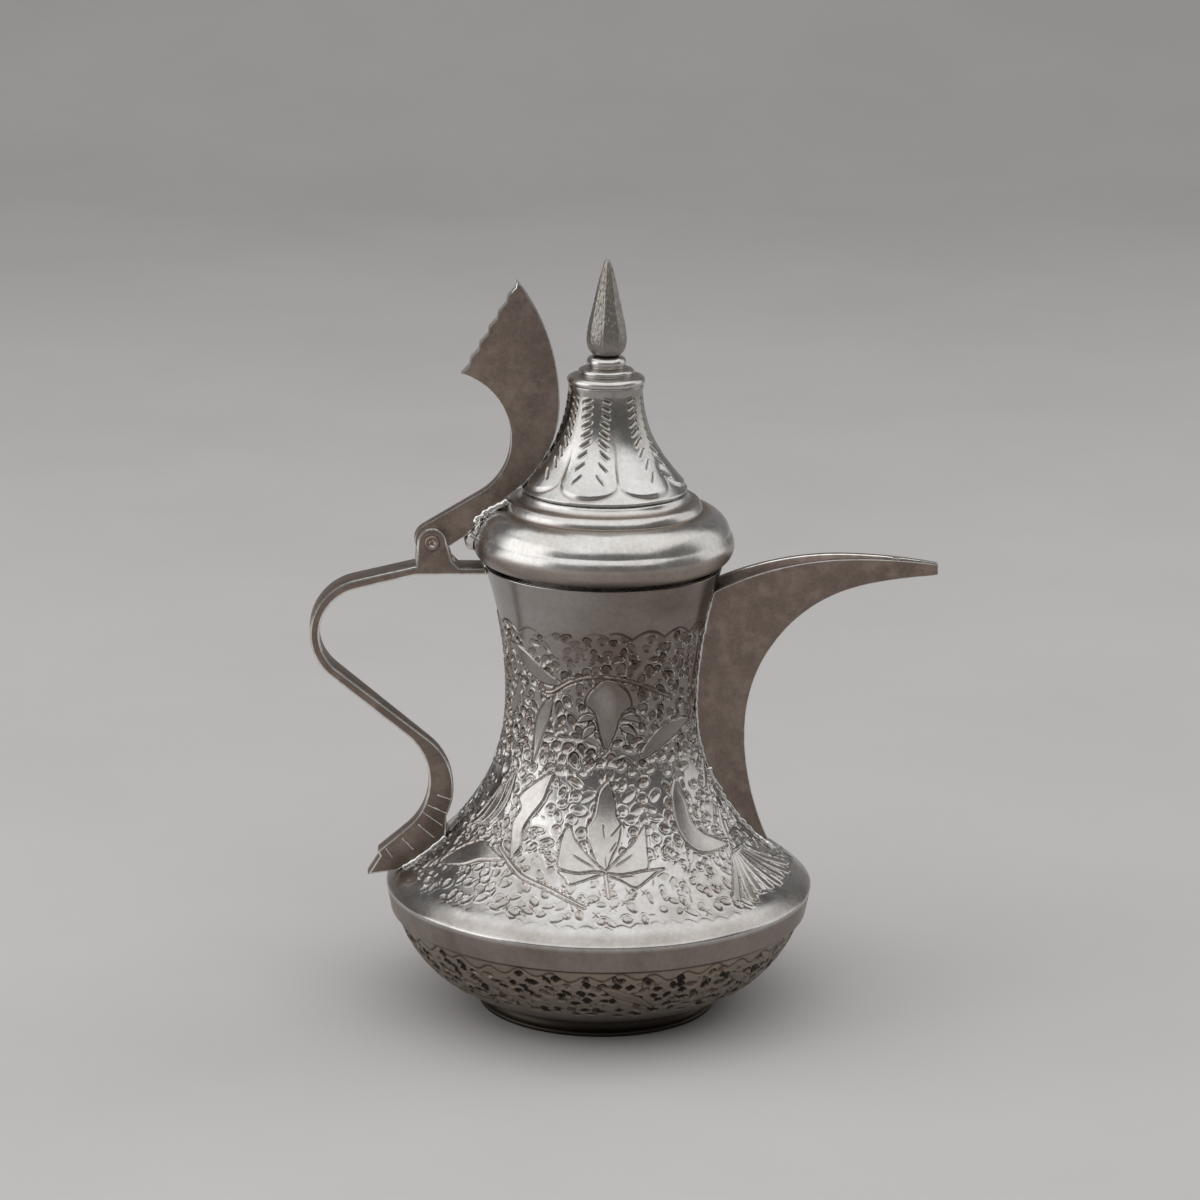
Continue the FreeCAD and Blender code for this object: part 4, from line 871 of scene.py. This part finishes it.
def make_base_bowl():
    lip, lip_top, floor_edge, floor, bulge = 48.7, 27.5, 30.5, 4.4, 3.2
    chord = math.hypot(lip - floor_edge, SKIRT[1] - floor)
    curve = (chord**2 / 4 + bulge**2) / (2 * bulge)
    centre = ((lip + floor_edge) / 2 - (curve - bulge) * (SKIRT[1] - floor) / chord,
              (SKIRT[1] + floor) / 2 + (curve - bulge) * (lip - floor_edge) / chord)
    top = math.degrees(math.atan2(SKIRT[1] - centre[1], lip - centre[0]))
    inner = curve - SHEET
    outer_floor = math.degrees(math.asin((floor - centre[1]) / curve))
    inner_floor = math.degrees(math.asin((floor + SHEET - centre[1]) / inner))
    fine = soften(join(
        [(lip, lip_top)],
        arc(centre, curve, top, outer_floor),
        [(0, floor), (0, floor + SHEET)],
        arc(centre, inner, inner_floor, top),
        [(lip - SHEET, lip_top)]), reach=0.2)
    side_edge, side_top, axis_reach, pole_reach = 29, 24.5, 1.5, 0.8
    side_step, axis_step, plain_step = 0.26, 0.3, 2.0
    radius, height = fine.T
    side = (np.arange(len(fine)) < np.argmin(radius)) & (radius > side_edge) & (height < side_top)
    rows = thin(fine, np.select([side, radius < axis_reach], [side_step, axis_step], plain_step))
    rows[rows[:, 0] < pole_reach, 0] = 0
    grid = Turned(drop_axis(rows), columns=1024)
    face = Face(grid, 0, int(np.argmax(grid.rows[:, 0] < floor_edge + SHEET)))

    vine_height, vine_swing, vine_drift, vine_gap = 21.5, 0.85, 0.5, 1.0
    skirt_shadow_top, foot_shade = (22.7, 23.3), (10.5, 5.5)

    def vine(angle):
        return vine_height + vine_swing * wave(angle, 38) + vine_drift * wave(angle, 13, 40)

    def below_vine(angle, z):
        return 1.0 * (z < vine(angle) - vine_gap)

    face.punched_ground(10.2, 20.8, pitch=2.8, strength=below_vine, size=1.1, depth=0.42, dirt=1.3)
    face.scattered_strokes(420, low_z=10.4, high_z=21.4, strength=below_vine, depth=0.34)
    for middle in range(6, 360, 40):
        face.carve("leaf", 2.8, [(middle - 9, 19), (middle - 3, 16.4), (middle + 3, 14.2), (middle + 9, 11)])
    face.scattered_stars(110, low_z=11.0, high_z=20.6, strength=below_vine, depth=0.36)
    line = hump(face.length[:, None] - face.down(vine(grid.angle[None, :])), BORDER_WIDTH)
    grid.height[:face.high] -= 0.3 * line
    face.stain_and_shade(0.85 * line)
    # painted shadow under the skirt's hem, and painted shade deepening towards the foot
    z = face.z[:, None]
    face.stain_and_shade(0.97 * smoothstep(z, *skirt_shadow_top) + 0.5 * fall(z, *foot_shade))
    grid.dirt_and_shade[face.high:] = 0.5
    finish_turned(grid, "chased_base_bowl", SHADED_BOWL_METAL, "base_bowl", "pot")


make_base_bowl()


def make_foot_ring():
    radius, edge, waist, width, top = 28.5, 0.9, 1.2, 4.0, 4.4
    fine = soften(join(
        arc3((radius - waist / 2, top), (radius - waist, (edge + top) / 2), (radius, edge)),
        [(radius, 0), (radius - width, 0), (radius - width, top)]), reach=0.15)
    fine[:, 1] = np.maximum(fine[:, 1], 0)
    grid = Turned(thin(fine, spacing=0.25), columns=512)
    # painted contact shadow: the whole foot ring is darkened almost to black
    grid.dirt_and_shade[:] = 0.93
    finish_turned(grid, "foot_ring_dressed", SHADED_BOWL_METAL, "foot_ring", "pot")


make_foot_ring()


# The lid, from its edge up to the finial

LID_EDGE = 109.1
LID_SHOULDER = 115.9
DOME_TOP = 121.3
RIDGE_TOP = 123.7
BELL_SEAT = 125.6
BELL_TOP = 151.2
BELL_NECK = 8.8
FINIAL_BORE = 1.6
COLLAR_TOP = 157.5
FINIAL_TURN = 10.0


def make_lid_rim():
    edge, widest, shoulder, dome, ridge, band, crown = 28.3, 30.7, 29.8, 23.8, 23.2, 19.5, 16.6
    belly = LID_EDGE + 3.2
    middle = ((shoulder + dome) / 2 + 1.0, (LID_SHOULDER + DOME_TOP) / 2 + 1.0)
    ridge_edge = (ridge - 1.2, RIDGE_TOP)
    inside_shoulder = (shoulder - SHEET, LID_SHOULDER - SHEET / 2)
    inside_middle = (middle[0] - SHEET, middle[1] - SHEET)
    inside_dome = (dome - 2 * SHEET, DOME_TOP - SHEET / 2)
    fine = soften(join(
        [(crown, BELL_SEAT)],
        arc3((band, BELL_SEAT), (band + 0.63, RIDGE_TOP + 0.63), ridge_edge),
        arc3(ridge_edge, (ridge - 0.6, RIDGE_TOP - 0.6), (ridge, DOME_TOP)),
        arc3((dome, DOME_TOP), middle, (shoulder, LID_SHOULDER)),
        arc3((shoulder, LID_SHOULDER), (widest, belly), (edge, LID_EDGE)),
        arc3((edge - SHEET, LID_EDGE), (widest - SHEET, belly), inside_shoulder),
        arc3(inside_shoulder, inside_middle, inside_dome),
        [(band - SHEET, BELL_SEAT - SHEET), (crown, BELL_SEAT - SHEET)]), reach=0.2)
    grid = Turned(thin(fine, spacing=0.25), columns=512)
    waves = ((4, 10, 5.0), (7, 200, 3.2), (13, 80, 2.2))
    grid.hammer(slice(None), lengths(grid.rows)[:, None], 0.018, waves)
    # painted shade in the coves beside the ridge and under the shoulder
    shade_under_shoulder, darkest_shade = (114.8, 112.2), 0.9
    z = grid.rows[:, 1:]
    cove_shade = hump(z - DOME_TOP - 0.15, 0.35) + 0.8 * hump(z - RIDGE_TOP - 0.2, 0.4)
    grid.dirt_and_shade[:] = np.clip(0.75 * cove_shade + 0.5 * fall(z, *shade_under_shoulder), 0, darkest_shade)
    finish_turned(grid, "lid_rim_dressed", LID, "lid_rim", "lid")


make_lid_rim()

LOBES = 7
FIRST_LOBE = -18.0
LOBE_LOW, LOBE_ARCH = 127.3, 3.6
CHEVRONS = (-72, -17, 52, 104, 155, 206, 257)
CHEVRON_STROKES = 9
CHEVRON_TOP, CHEVRON_PITCH, PITCH_GROWTH = 148.4, 1.55, 0.075
CHEVRON_LOW, CHEVRON_TALL, CHEVRON_ASIDE, CHEVRON_SPREAD = 131, 17, 10, 4.5


def make_lid_bell():
    sheet, foot, foot_height = 0.9, 19.4, 1.4
    foot_top, bulge = BELL_SEAT + foot_height, foot_height / 4
    tall = BELL_TOP - foot_top
    curve = ((foot - BELL_NECK)**2 + tall**2) / (2 * (foot - BELL_NECK))
    centre = (BELL_NECK + curve, BELL_TOP)
    inner = curve + sheet
    foot_angle = 180 + math.degrees(math.asin(tall / curve))
    top_angle = 180 + math.degrees(math.asin(sheet / inner))
    inner_arc = arc(centre, inner, foot_angle, top_angle)
    fine = soften(join(
        [(FINIAL_BORE, BELL_TOP)],
        arc(centre, curve, 180, foot_angle),
        arc3((foot, foot_top), (foot + bulge, (BELL_SEAT + foot_top) / 2), (foot - bulge, BELL_SEAT)),
        [(inner_arc[0][0], BELL_SEAT)],
        inner_arc,
        [(FINIAL_BORE, BELL_TOP - sheet)]), reach=0.12)
    outside = (np.arange(len(fine)) < np.argmin(fine[:, 1])) & (fine[:, 0] > BELL_NECK - 0.5)
    rows = thin(fine, np.where(outside, 0.2, 1.5))
    grid = Turned(rows, columns=896)
    face = Face(grid, int(np.argmax(rows[:, 0] > BELL_NECK - 0.3)), int(np.argmin(rows[:, 1])))
    half = 180 / LOBES
    share = (((grid.angle - FIRST_LOBE + half) % (2 * half) - half) / half)[None, :]
    panel = np.clip(1 - share**2, 0, 1)
    z = face.z[:, None]
    side = (1 - np.abs(share)) * math.radians(half) * face.radius[:, None]
    above = z - LOBE_LOW - LOBE_ARCH * (1 - np.sqrt(panel))
    # hollow flutes with crests between them swell into round lobes over the foot
    swell, top_fade = (140, 130.5), (150.6, 149.2)
    lobe_rise, lobe_sunk, flute_depth, foot_sunk = 0.75, 0.35, 0.32, 0.3
    seam_width, rim_width = 0.3, 0.26
    swollen = fall(z, *swell)
    form = swollen * (lobe_rise * panel - lobe_sunk) - flute_depth * (1 - swollen) * panel
    on_lobe = smoothstep(above, -0.1, 0.8)
    seam = hump(side, seam_width) * swollen * on_lobe
    rim = hump(above + 0.05, rim_width) * (np.abs(share) < 0.97)
    fade = fall(z, *top_fade)
    relief = form * on_lobe - foot_sunk * (1 - on_lobe) - 0.12 * seam - 0.08 * rim
    grid.height[face.low:face.high] = relief * fade
    face.stain_and_shade(np.maximum(0.7 * seam, 0.4 * rim) * fade)
    for middle in CHEVRONS:
        for k in range(CHEVRON_STROKES):
            height = CHEVRON_TOP - CHEVRON_PITCH * k - PITCH_GROWTH * k**2
            aside = CHEVRON_ASIDE + CHEVRON_SPREAD * (height - CHEVRON_LOW) / CHEVRON_TALL
            lift = 0.35 + 0.085 * k
            for sign in (-1, 1):
                place = middle + sign * aside + rng.uniform(-1, 1)
                face.stroke(place, height, reach=1.05, lift=-sign * lift, depth=0.4, width=0.25, dirt=0.8)
    finish_turned(grid, "fluted_lid_bell", BELL, "lid_bell", "lid")


make_lid_bell()


def make_collar():
    ring, ring_radius, disc, knob, neck = 1.8, 9.1, 6.2, 4.4, 2.8
    ring_top, disc_top = BELL_TOP + ring, BELL_TOP + 3.5
    disc_low, knob_low = ring_top + ring / 4, disc_top + ring / 4
    fine = soften(join(
        [(FINIAL_BORE, COLLAR_TOP)],
        arc3((neck, COLLAR_TOP), (knob + ring / 8, (knob_low + COLLAR_TOP) / 2), (knob - ring / 6, knob_low)),
        arc3((disc - ring / 6, disc_top), (disc + ring / 6, (disc_low + disc_top) / 2), (disc, disc_low)),
        arc3((BELL_NECK - ring / 4, ring_top), (ring_radius, BELL_TOP + ring / 2), (BELL_NECK, BELL_TOP)),
        [(FINIAL_BORE, BELL_TOP)]), reach=0.14)
    grid = Turned(thin(fine, spacing=0.16), columns=384)
    z = grid.rows[:, 1:]
    # painted shade in the coves just above the ring and the disc
    grid.dirt_and_shade[:] = 0.4 * (hump(z - ring_top - 0.3, 0.3) + hump(z - disc_top - 0.25, 0.3))
    finish_turned(grid, "collar_dressed", LID, "finial_collar", "lid")


make_collar()


def make_finial():
    tenon, tenon_low, facets = 1.5, vertices_of("finial")[:, 2].min(), 8
    spike = [
        (2.8, 0), (4.25, 1.7), (4.7, 4.2), (4.3, 7.6), (3.43, 11.4), (2.1, 17.4), (1.0, 21.4), (0.55, 22.5),
        (0, 22.8),
    ]
    profile = smooth_path(spike, 160)
    profile[:, 0] = np.maximum(profile[:, 0], 0)
    profile[:, 1] += COLLAR_TOP
    fine = join(profile[::-1], [(tenon, COLLAR_TOP), (tenon, tenon_low), (0, tenon_low)])
    rows = thin(fine, np.where(fine[:, 1] > COLLAR_TOP, 0.18, 0.8))
    rows[0] = (0, profile[-1, 1])
    rows[rows[:, 0] < 0.1, 0] = 0
    grid = Turned(drop_axis(rows), columns=256)
    flat = 360 / facets
    turn = np.radians((grid.angle - FINIAL_TURN + flat / 2) % flat - flat / 2)
    flattened = (1 - math.cos(math.radians(flat / 2)) / np.cos(turn))[None, :]
    facets_sharpen, ridges_shine, pitted, pit_depth = (3, 10), (5, 11), (1, 21), 0.11
    up = grid.rows[:, 1:] - COLLAR_TOP
    sharp = (0.3 + 0.7 * smoothstep(up, *facets_sharpen)) * (up > 0)
    grid.points[..., :2] *= (1 - sharp * flattened)[..., None]
    # the casting is a little rough, and the ridges between its facets are rubbed bright
    pits = rng.normal(0, pit_depth, grid.height.shape) * (up > pitted[0])
    for axis in (0, 1, 0, 1):
        pits = (np.roll(pits, 1, axis) + pits + np.roll(pits, -1, axis)) / 3
    grid.height += pits * (up < pitted[1])
    ridge = 1 - smoothstep(flattened, 0.0, 0.02)
    dull = 0.3 - 0.3 * ridge * smoothstep(up, *ridges_shine)
    grid.dirt_and_shade[:] = np.maximum(dull, 0.85 * hump(up - 0.2, 0.5))
    finish_turned(grid, "finial_dressed", FINIAL, "finial", "lid")


make_finial()


# Plates: handle, spout, lever and pin

CREST_REACH = 1.4
WELD = 0.002
FLAT_ANGLE, HARD_ANGLE, SMOOTH_ANGLE = (math.radians(angle) for angle in (0.3, 28, 36))


def off_line(point, begin, end):
    """Distance from a point to a line, seen from the pot's side."""
    flat = Vector((point[0], point[2]))
    begin, end = Vector(begin), Vector(end)
    share = min(1, max(0, (flat - begin).dot(end - begin) / (end - begin).length_squared))
    return (flat - begin - share * (end - begin)).length


def across_crest(edge, crest):
    """Whether an edge runs across the plate within a toothed crest."""
    first, second = (vertex.co / MM for vertex in edge.verts)
    level = abs(second.y - first.y) > 0.9 * (second - first).length
    return level and off_line((first + second) / 2, *crest) < CREST_REACH


def lever_crest():
    """The ends of the lever's toothed edge: its tip, and its corner over the handle."""
    points = vertices_of("thumb_lever")
    tip = points[np.argmax(points[:, 2])]
    upper = points[points[:, 2] > (tip[2] + points[:, 2].min()) / 2]
    corner = upper[np.argmin(upper[:, 0])]
    return (tip[0], tip[2]), (corner[0], corner[2])


def dressed(node, body, width, rubbed=None, inward=False):
    """The CAD node's shape with its hard edges, and the faces near a rubbed line, worn bright and painted as
    a highlight.
    """
    name = node + "_dressed"
    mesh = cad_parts[node].data.copy()
    mesh.name = name
    for label in ("custom_normal", "sharp_edge", "sharp_face"):
        if label in mesh.attributes:
            mesh.attributes.remove(mesh.attributes[label])
    work = bmesh.new()
    work.from_mesh(mesh)
    bmesh.ops.remove_doubles(work, verts=work.verts, dist=WELD * MM)
    bmesh.ops.dissolve_limit(work, angle_limit=FLAT_ANGLE, verts=work.verts, edges=work.edges)
    for face in work.faces:
        face.material_index = 0
        face.smooth = True
    hard = [edge for edge in work.edges if len(edge.link_faces) == 2
            and (edge.is_convex or inward) and edge.calc_face_angle(0) > HARD_ANGLE]
    if rubbed:
        # the teeth stay sharp: only their outline is worn, not the ridges across the plate
        hard = [edge for edge in hard if not across_crest(edge, rubbed)]
    rounded = bmesh.ops.bevel(work, geom=hard, offset=width * MM, offset_type="OFFSET", segments=2,
                              profile=0.5, affect="EDGES", clamp_overlap=False)
    for face in rounded["faces"]:
        face.material_index = 1
        face.smooth = True
    # the faces along the toothed crest get the same bright metal: wear, and a painted highlight
    for face in work.faces:
        if rubbed and off_line(face.calc_center_median() / MM, *rubbed) < CREST_REACH:
            face.material_index = 1
    for edge in work.edges:
        edge.smooth = len(edge.link_faces) != 2 or edge.calc_face_angle(0) < SMOOTH_ANGLE
    mesh.materials.clear()
    mesh.materials.append(PLATE)
    mesh.materials.append(EDGE_WEAR_AND_HIGHLIGHT)
    work.to_mesh(mesh)
    work.free()
    stand_for(link(name, mesh), node, body)


dressed("handle", "pot", width=0.48)
dressed("spout", "pot", width=0.22)
dressed("thumb_lever", "lid", width=0.24, rubbed=lever_crest())
dressed("hinge_pin", "pot", width=0.18, inward=True)


# Solder

BEAD_STEP = 0.25
BEAD_SIDES = 12
CONTACT_GAP = 0.35
CONTACT_STEP = 1.5


def bead(name, path, radius, body, lumps):
    """A closed, lumpy thread of solder along points in millimetres."""
    path = np.asarray(path, float)
    places = lengths(path)
    count = max(8, int(places[-1] / BEAD_STEP))
    along = np.linspace(0, places[-1], count)
    line = resample(along, places, path)
    forward = np.gradient(line, axis=0)
    forward /= np.linalg.norm(forward, axis=1, keepdims=True)
    side = np.cross(forward, (0.9, 0.1, 0.4))
    side /= np.linalg.norm(side, axis=1, keepdims=True)
    over = np.cross(side, forward)
    turn = np.arange(BEAD_SIDES) * 2 * math.pi / BEAD_SIDES
    from_end = np.minimum(along, along[::-1]) / radius
    thickness = radius * np.sqrt(np.clip(1 - np.clip(1 - from_end, 0, 1)**2, 0, 1))[:, None]
    for _ in range(4):
        pace, phase = rng.uniform(0.6, 3.2), rng.uniform(0, 2 * math.pi)
        ripple = np.sin(pace * along[:, None] + rng.integers(0, 3) * turn[None, :] + phase)
        thickness = thickness * (1 + lumps / 2 * ripple)
    rings = line[:, None] + thickness[..., None] * (
        np.cos(turn)[None, :, None] * side[:, None] + np.sin(turn)[None, :, None] * over[:, None])
    points = np.vstack([line[:1], rings[1:-1].reshape(-1, 3), line[-1:]])
    here = 1 + np.arange(BEAD_SIDES)
    following = np.roll(here, -1)
    ring = np.stack([here, following, following + BEAD_SIDES, here + BEAD_SIDES], 1)
    quads = np.vstack([ring + BEAD_SIDES * k for k in range(count - 3)])
    last = BEAD_SIDES * (count - 3)
    tris = np.vstack([np.stack([0 * here, following, here], 1),
                      np.stack([0 * here + len(points) - 1, here + last, following + last], 1)])
    piece = build_mesh(name, points, [quads, tris], SOLDER)
    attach(piece, body)


def contact_path(node, low_z, high_z):
    """The near edge of the strip where a plate meets the pot's side, from below upward."""
    points = vertices_of(node)
    z = points[:, 2]
    gap = np.abs(np.hypot(points[:, 0], points[:, 1]) - pot_side.radius_at(z))
    points = points[(gap < CONTACT_GAP) & (z > low_z) & (z < high_z)]
    path = []
    for z in np.arange(low_z, high_z, CONTACT_STEP):
        level = points[np.abs(points[:, 2] - z) < CONTACT_STEP / 2]
        if len(level):
            path.append(level[np.argmin(level[:, 1])])
    return np.array(path)


# Seams of the plates on the pot: lowest and highest place, and the bead's radius
SEAMS = (("spout", 34, 60, 0.85), ("spout", 60, 101, 0.42), ("handle", 30, 60, 0.65))
for node, low_z, high_z, radius in SEAMS:
    seam = contact_path(node, low_z, high_z)
    for label, sign in (("near", 1), ("far", -1)):
        bead(f"{node}_solder_{label}_{low_z}", seam * (1, sign, 1), radius, "pot", lumps=0.16)


def lumpy(node, name, body, grain, swell):
    """The CAD node's shape as a lumpy run of solder."""
    draft = link(name + "_draft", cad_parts[node].data.copy())
    remesh = draft.modifiers.new("even", "REMESH")
    remesh.mode = "VOXEL"
    remesh.voxel_size = grain * MM
    mesh = modified_mesh(draft)
    bpy.data.objects.remove(draft)
    count = 3 * len(mesh.vertices)
    points, normals = np.zeros(count, np.float32), np.zeros(count, np.float32)
    mesh.vertices.foreach_get("co", points)
    mesh.vertices.foreach_get("normal", normals)
    points, normals = points.reshape(-1, 3) / MM, normals.reshape(-1, 3)
    height = np.zeros(len(points))
    for _ in range(9):
        pace = rng.normal(0, 1.6, 3)
        height += np.sin(points @ pace + rng.uniform(0, 2 * math.pi)) / 3
    moved = (points + swell * np.tanh(height)[:, None] * normals) * MM
    mesh.vertices.foreach_set("co", moved.astype(np.float32).ravel())
    mesh.polygons.foreach_set("use_smooth", np.full(len(mesh.polygons), True))
    mesh.materials.clear()
    mesh.materials.append(SOLDER)
    mesh.update()
    stand_for(link(name, mesh), node, body)


lumpy("lever_solder_joint", "lever_solder_lump", "lid", grain=0.2, swell=0.3)

# Solder run along the lever's foot and down the lid's edge, and across the end of the handle
HINGE = (-40.4, 113.8)
for name, body, radius, path in (
        ("lever_solder_run", "lid", 0.9, [(9.6, -1.2, 4.2), (13, -1.3, 7.0), (18, -1.4, 9.6)]),
        ("lever_solder_run_far", "lid", 0.9, [(9.6, 1.2, 4.2), (13, 1.3, 7.0), (18, 1.4, 9.6)]),
        ("lid_edge_solder", "lid", 0.7, [(10.1, -0.9, 2.6), (9.7, -1.0, 0.4), (10.6, -0.9, -2.6)]),
        ("handle_end_solder", "pot", 0.5, [(12.5, -4.0, -5.6), (12.4, 0.0, -5.6), (12.5, 4.0, -5.6)])):
    line = [(HINGE[0] + x, y, HINGE[1] + z) for x, y, z in path]
    bead(name, line, radius, body, lumps=0.22)

# Bright lines across the handle's foot, on both of its faces
FOOT_LINES = (
    ((-39.0, 51.7), (-35.4, 50.4)), ((-41.3, 49.2), (-36.3, 46.9)), ((-42.7, 47.7), (-37.5, 43.9)),
    ((-43.5, 44.4), (-39.4, 40.9)), ((-47.3, 41.0), (-44.4, 37.9)), ((-51.1, 38.5), (-49.4, 36.0)),
)
FOOT_HALF, FOOT_LINE_RADIUS = 2.15, 0.19
for k, ends in enumerate(FOOT_LINES):
    for label, side in (("near", -FOOT_HALF), ("far", FOOT_HALF)):
        line = [(x, side, z) for x, z in ends]
        bead(f"foot_line_{label}_{k}", line, FOOT_LINE_RADIUS, "pot", lumps=0.2)


# Camera, light and floor

def look(azimuth, elevation, roll, aim, distance):
    """The camera's place: degrees, then the point aimed at, beside the axis and above the table."""
    az, el, roll = (math.radians(v) for v in (azimuth, elevation, roll))
    forward = Vector((-math.sin(az) * math.cos(el), math.cos(az) * math.cos(el), -math.sin(el)))
    right = Vector((math.cos(az), math.sin(az), 0))
    up = right.cross(forward)
    target = (right * aim[0] + Vector((0, 0, aim[1]))) * MM
    rolled = math.cos(roll) * right + math.sin(roll) * up
    rolled_up = math.cos(roll) * up - math.sin(roll) * right
    turn = Matrix((rolled, rolled_up, -forward)).transposed().to_4x4()
    return Matrix.Translation(target - forward * distance * MM) @ turn


camera = bpy.data.cameras.new("camera")
camera.lens = 120
camera.sensor_width = 36
view = link("camera", camera)
view.matrix_world = look(azimuth=-4, elevation=14.65, roll=0.85, aim=(-0.642, 98.9), distance=944)
bpy.context.scene.camera = view


def softbox(name, place, aim, width, height, brightness):
    """A plain soft lamp, in metres, as bright as a surface of that radiance."""
    lamp = bpy.data.lights.new(name, "AREA")
    lamp.shape = "RECTANGLE"
    lamp.size = width
    lamp.size_y = height
    lamp.energy = brightness * math.pi * width * height
    holder = link(name, lamp)
    holder.location = place
    holder.rotation_euler = (Vector(aim) - Vector(place)).to_track_quat("-Z", "Y").to_euler()


softbox("overhead", place=(0, -0.5, 1.35), aim=(0, -0.499, 0), width=3.2, height=2.8, brightness=1.1)
softbox("left", place=(-1.3, -0.2, 0.5), aim=(0, 0, 0.08), width=1.3, height=1.0, brightness=1.7)
softbox("right", place=(1.25, 0.42, 0.5), aim=(0, 0, 0.08), width=0.9, height=1.0, brightness=0.85)

world = bpy.data.worlds.new("studio")
world.use_nodes = True
world.node_tree.nodes["Background"].inputs["Color"].default_value = (0.2, 0.198, 0.196, 1)
bpy.context.scene.world = world

FLOOR_DARKER, FLOOR_LIGHTER = (0.515, 0.5, 0.495), (0.545, 0.53, 0.525)


def make_floor():
    """A pale sweep: level under the pot, then curved up into a wall behind it."""
    material, tree, shader = new_material("pale_floor")
    shader.inputs["Roughness"].default_value = 0.75
    tone = ramp(tree, noise(tree, scale=7, detail=5), ((0.35, FLOOR_DARKER), (0.7, FLOOR_LIGHTER)))
    feed(tree, shader.inputs["Base Color"], tone)
    front, bend, radius, top, half, below_pot = -2200, 1200, 800, 3000, 6000, 0.02
    sweep = [(front, 0)]
    for degrees in range(0, 91, 6):
        turn = math.radians(degrees)
        sweep.append((bend + radius * math.sin(turn), radius - radius * math.cos(turn)))
    sweep.append((bend + radius, top))
    points = [(x, y, z - below_pot) for y, z in sweep for x in (-half, half)]
    first = 2 * np.arange(len(sweep) - 1)
    faces = np.stack([first, first + 1, first + 3, first + 2], 1)
    build_mesh("floor", points, [faces], material)


make_floor()

# CAD nodes that stay get the procedural metals
METALS = {
    "body_metal": BODY,
    "lid_metal": LID,
    "plate_metal": PLATE,
    "finial_metal": FINIAL,
    "solder": SOLDER,
}
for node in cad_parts.values():
    for slot in node.material_slots:
        slot.material = METALS[slot.material.name.split(".")[0]]

bpy.context.scene.view_settings.view_transform = "Standard"
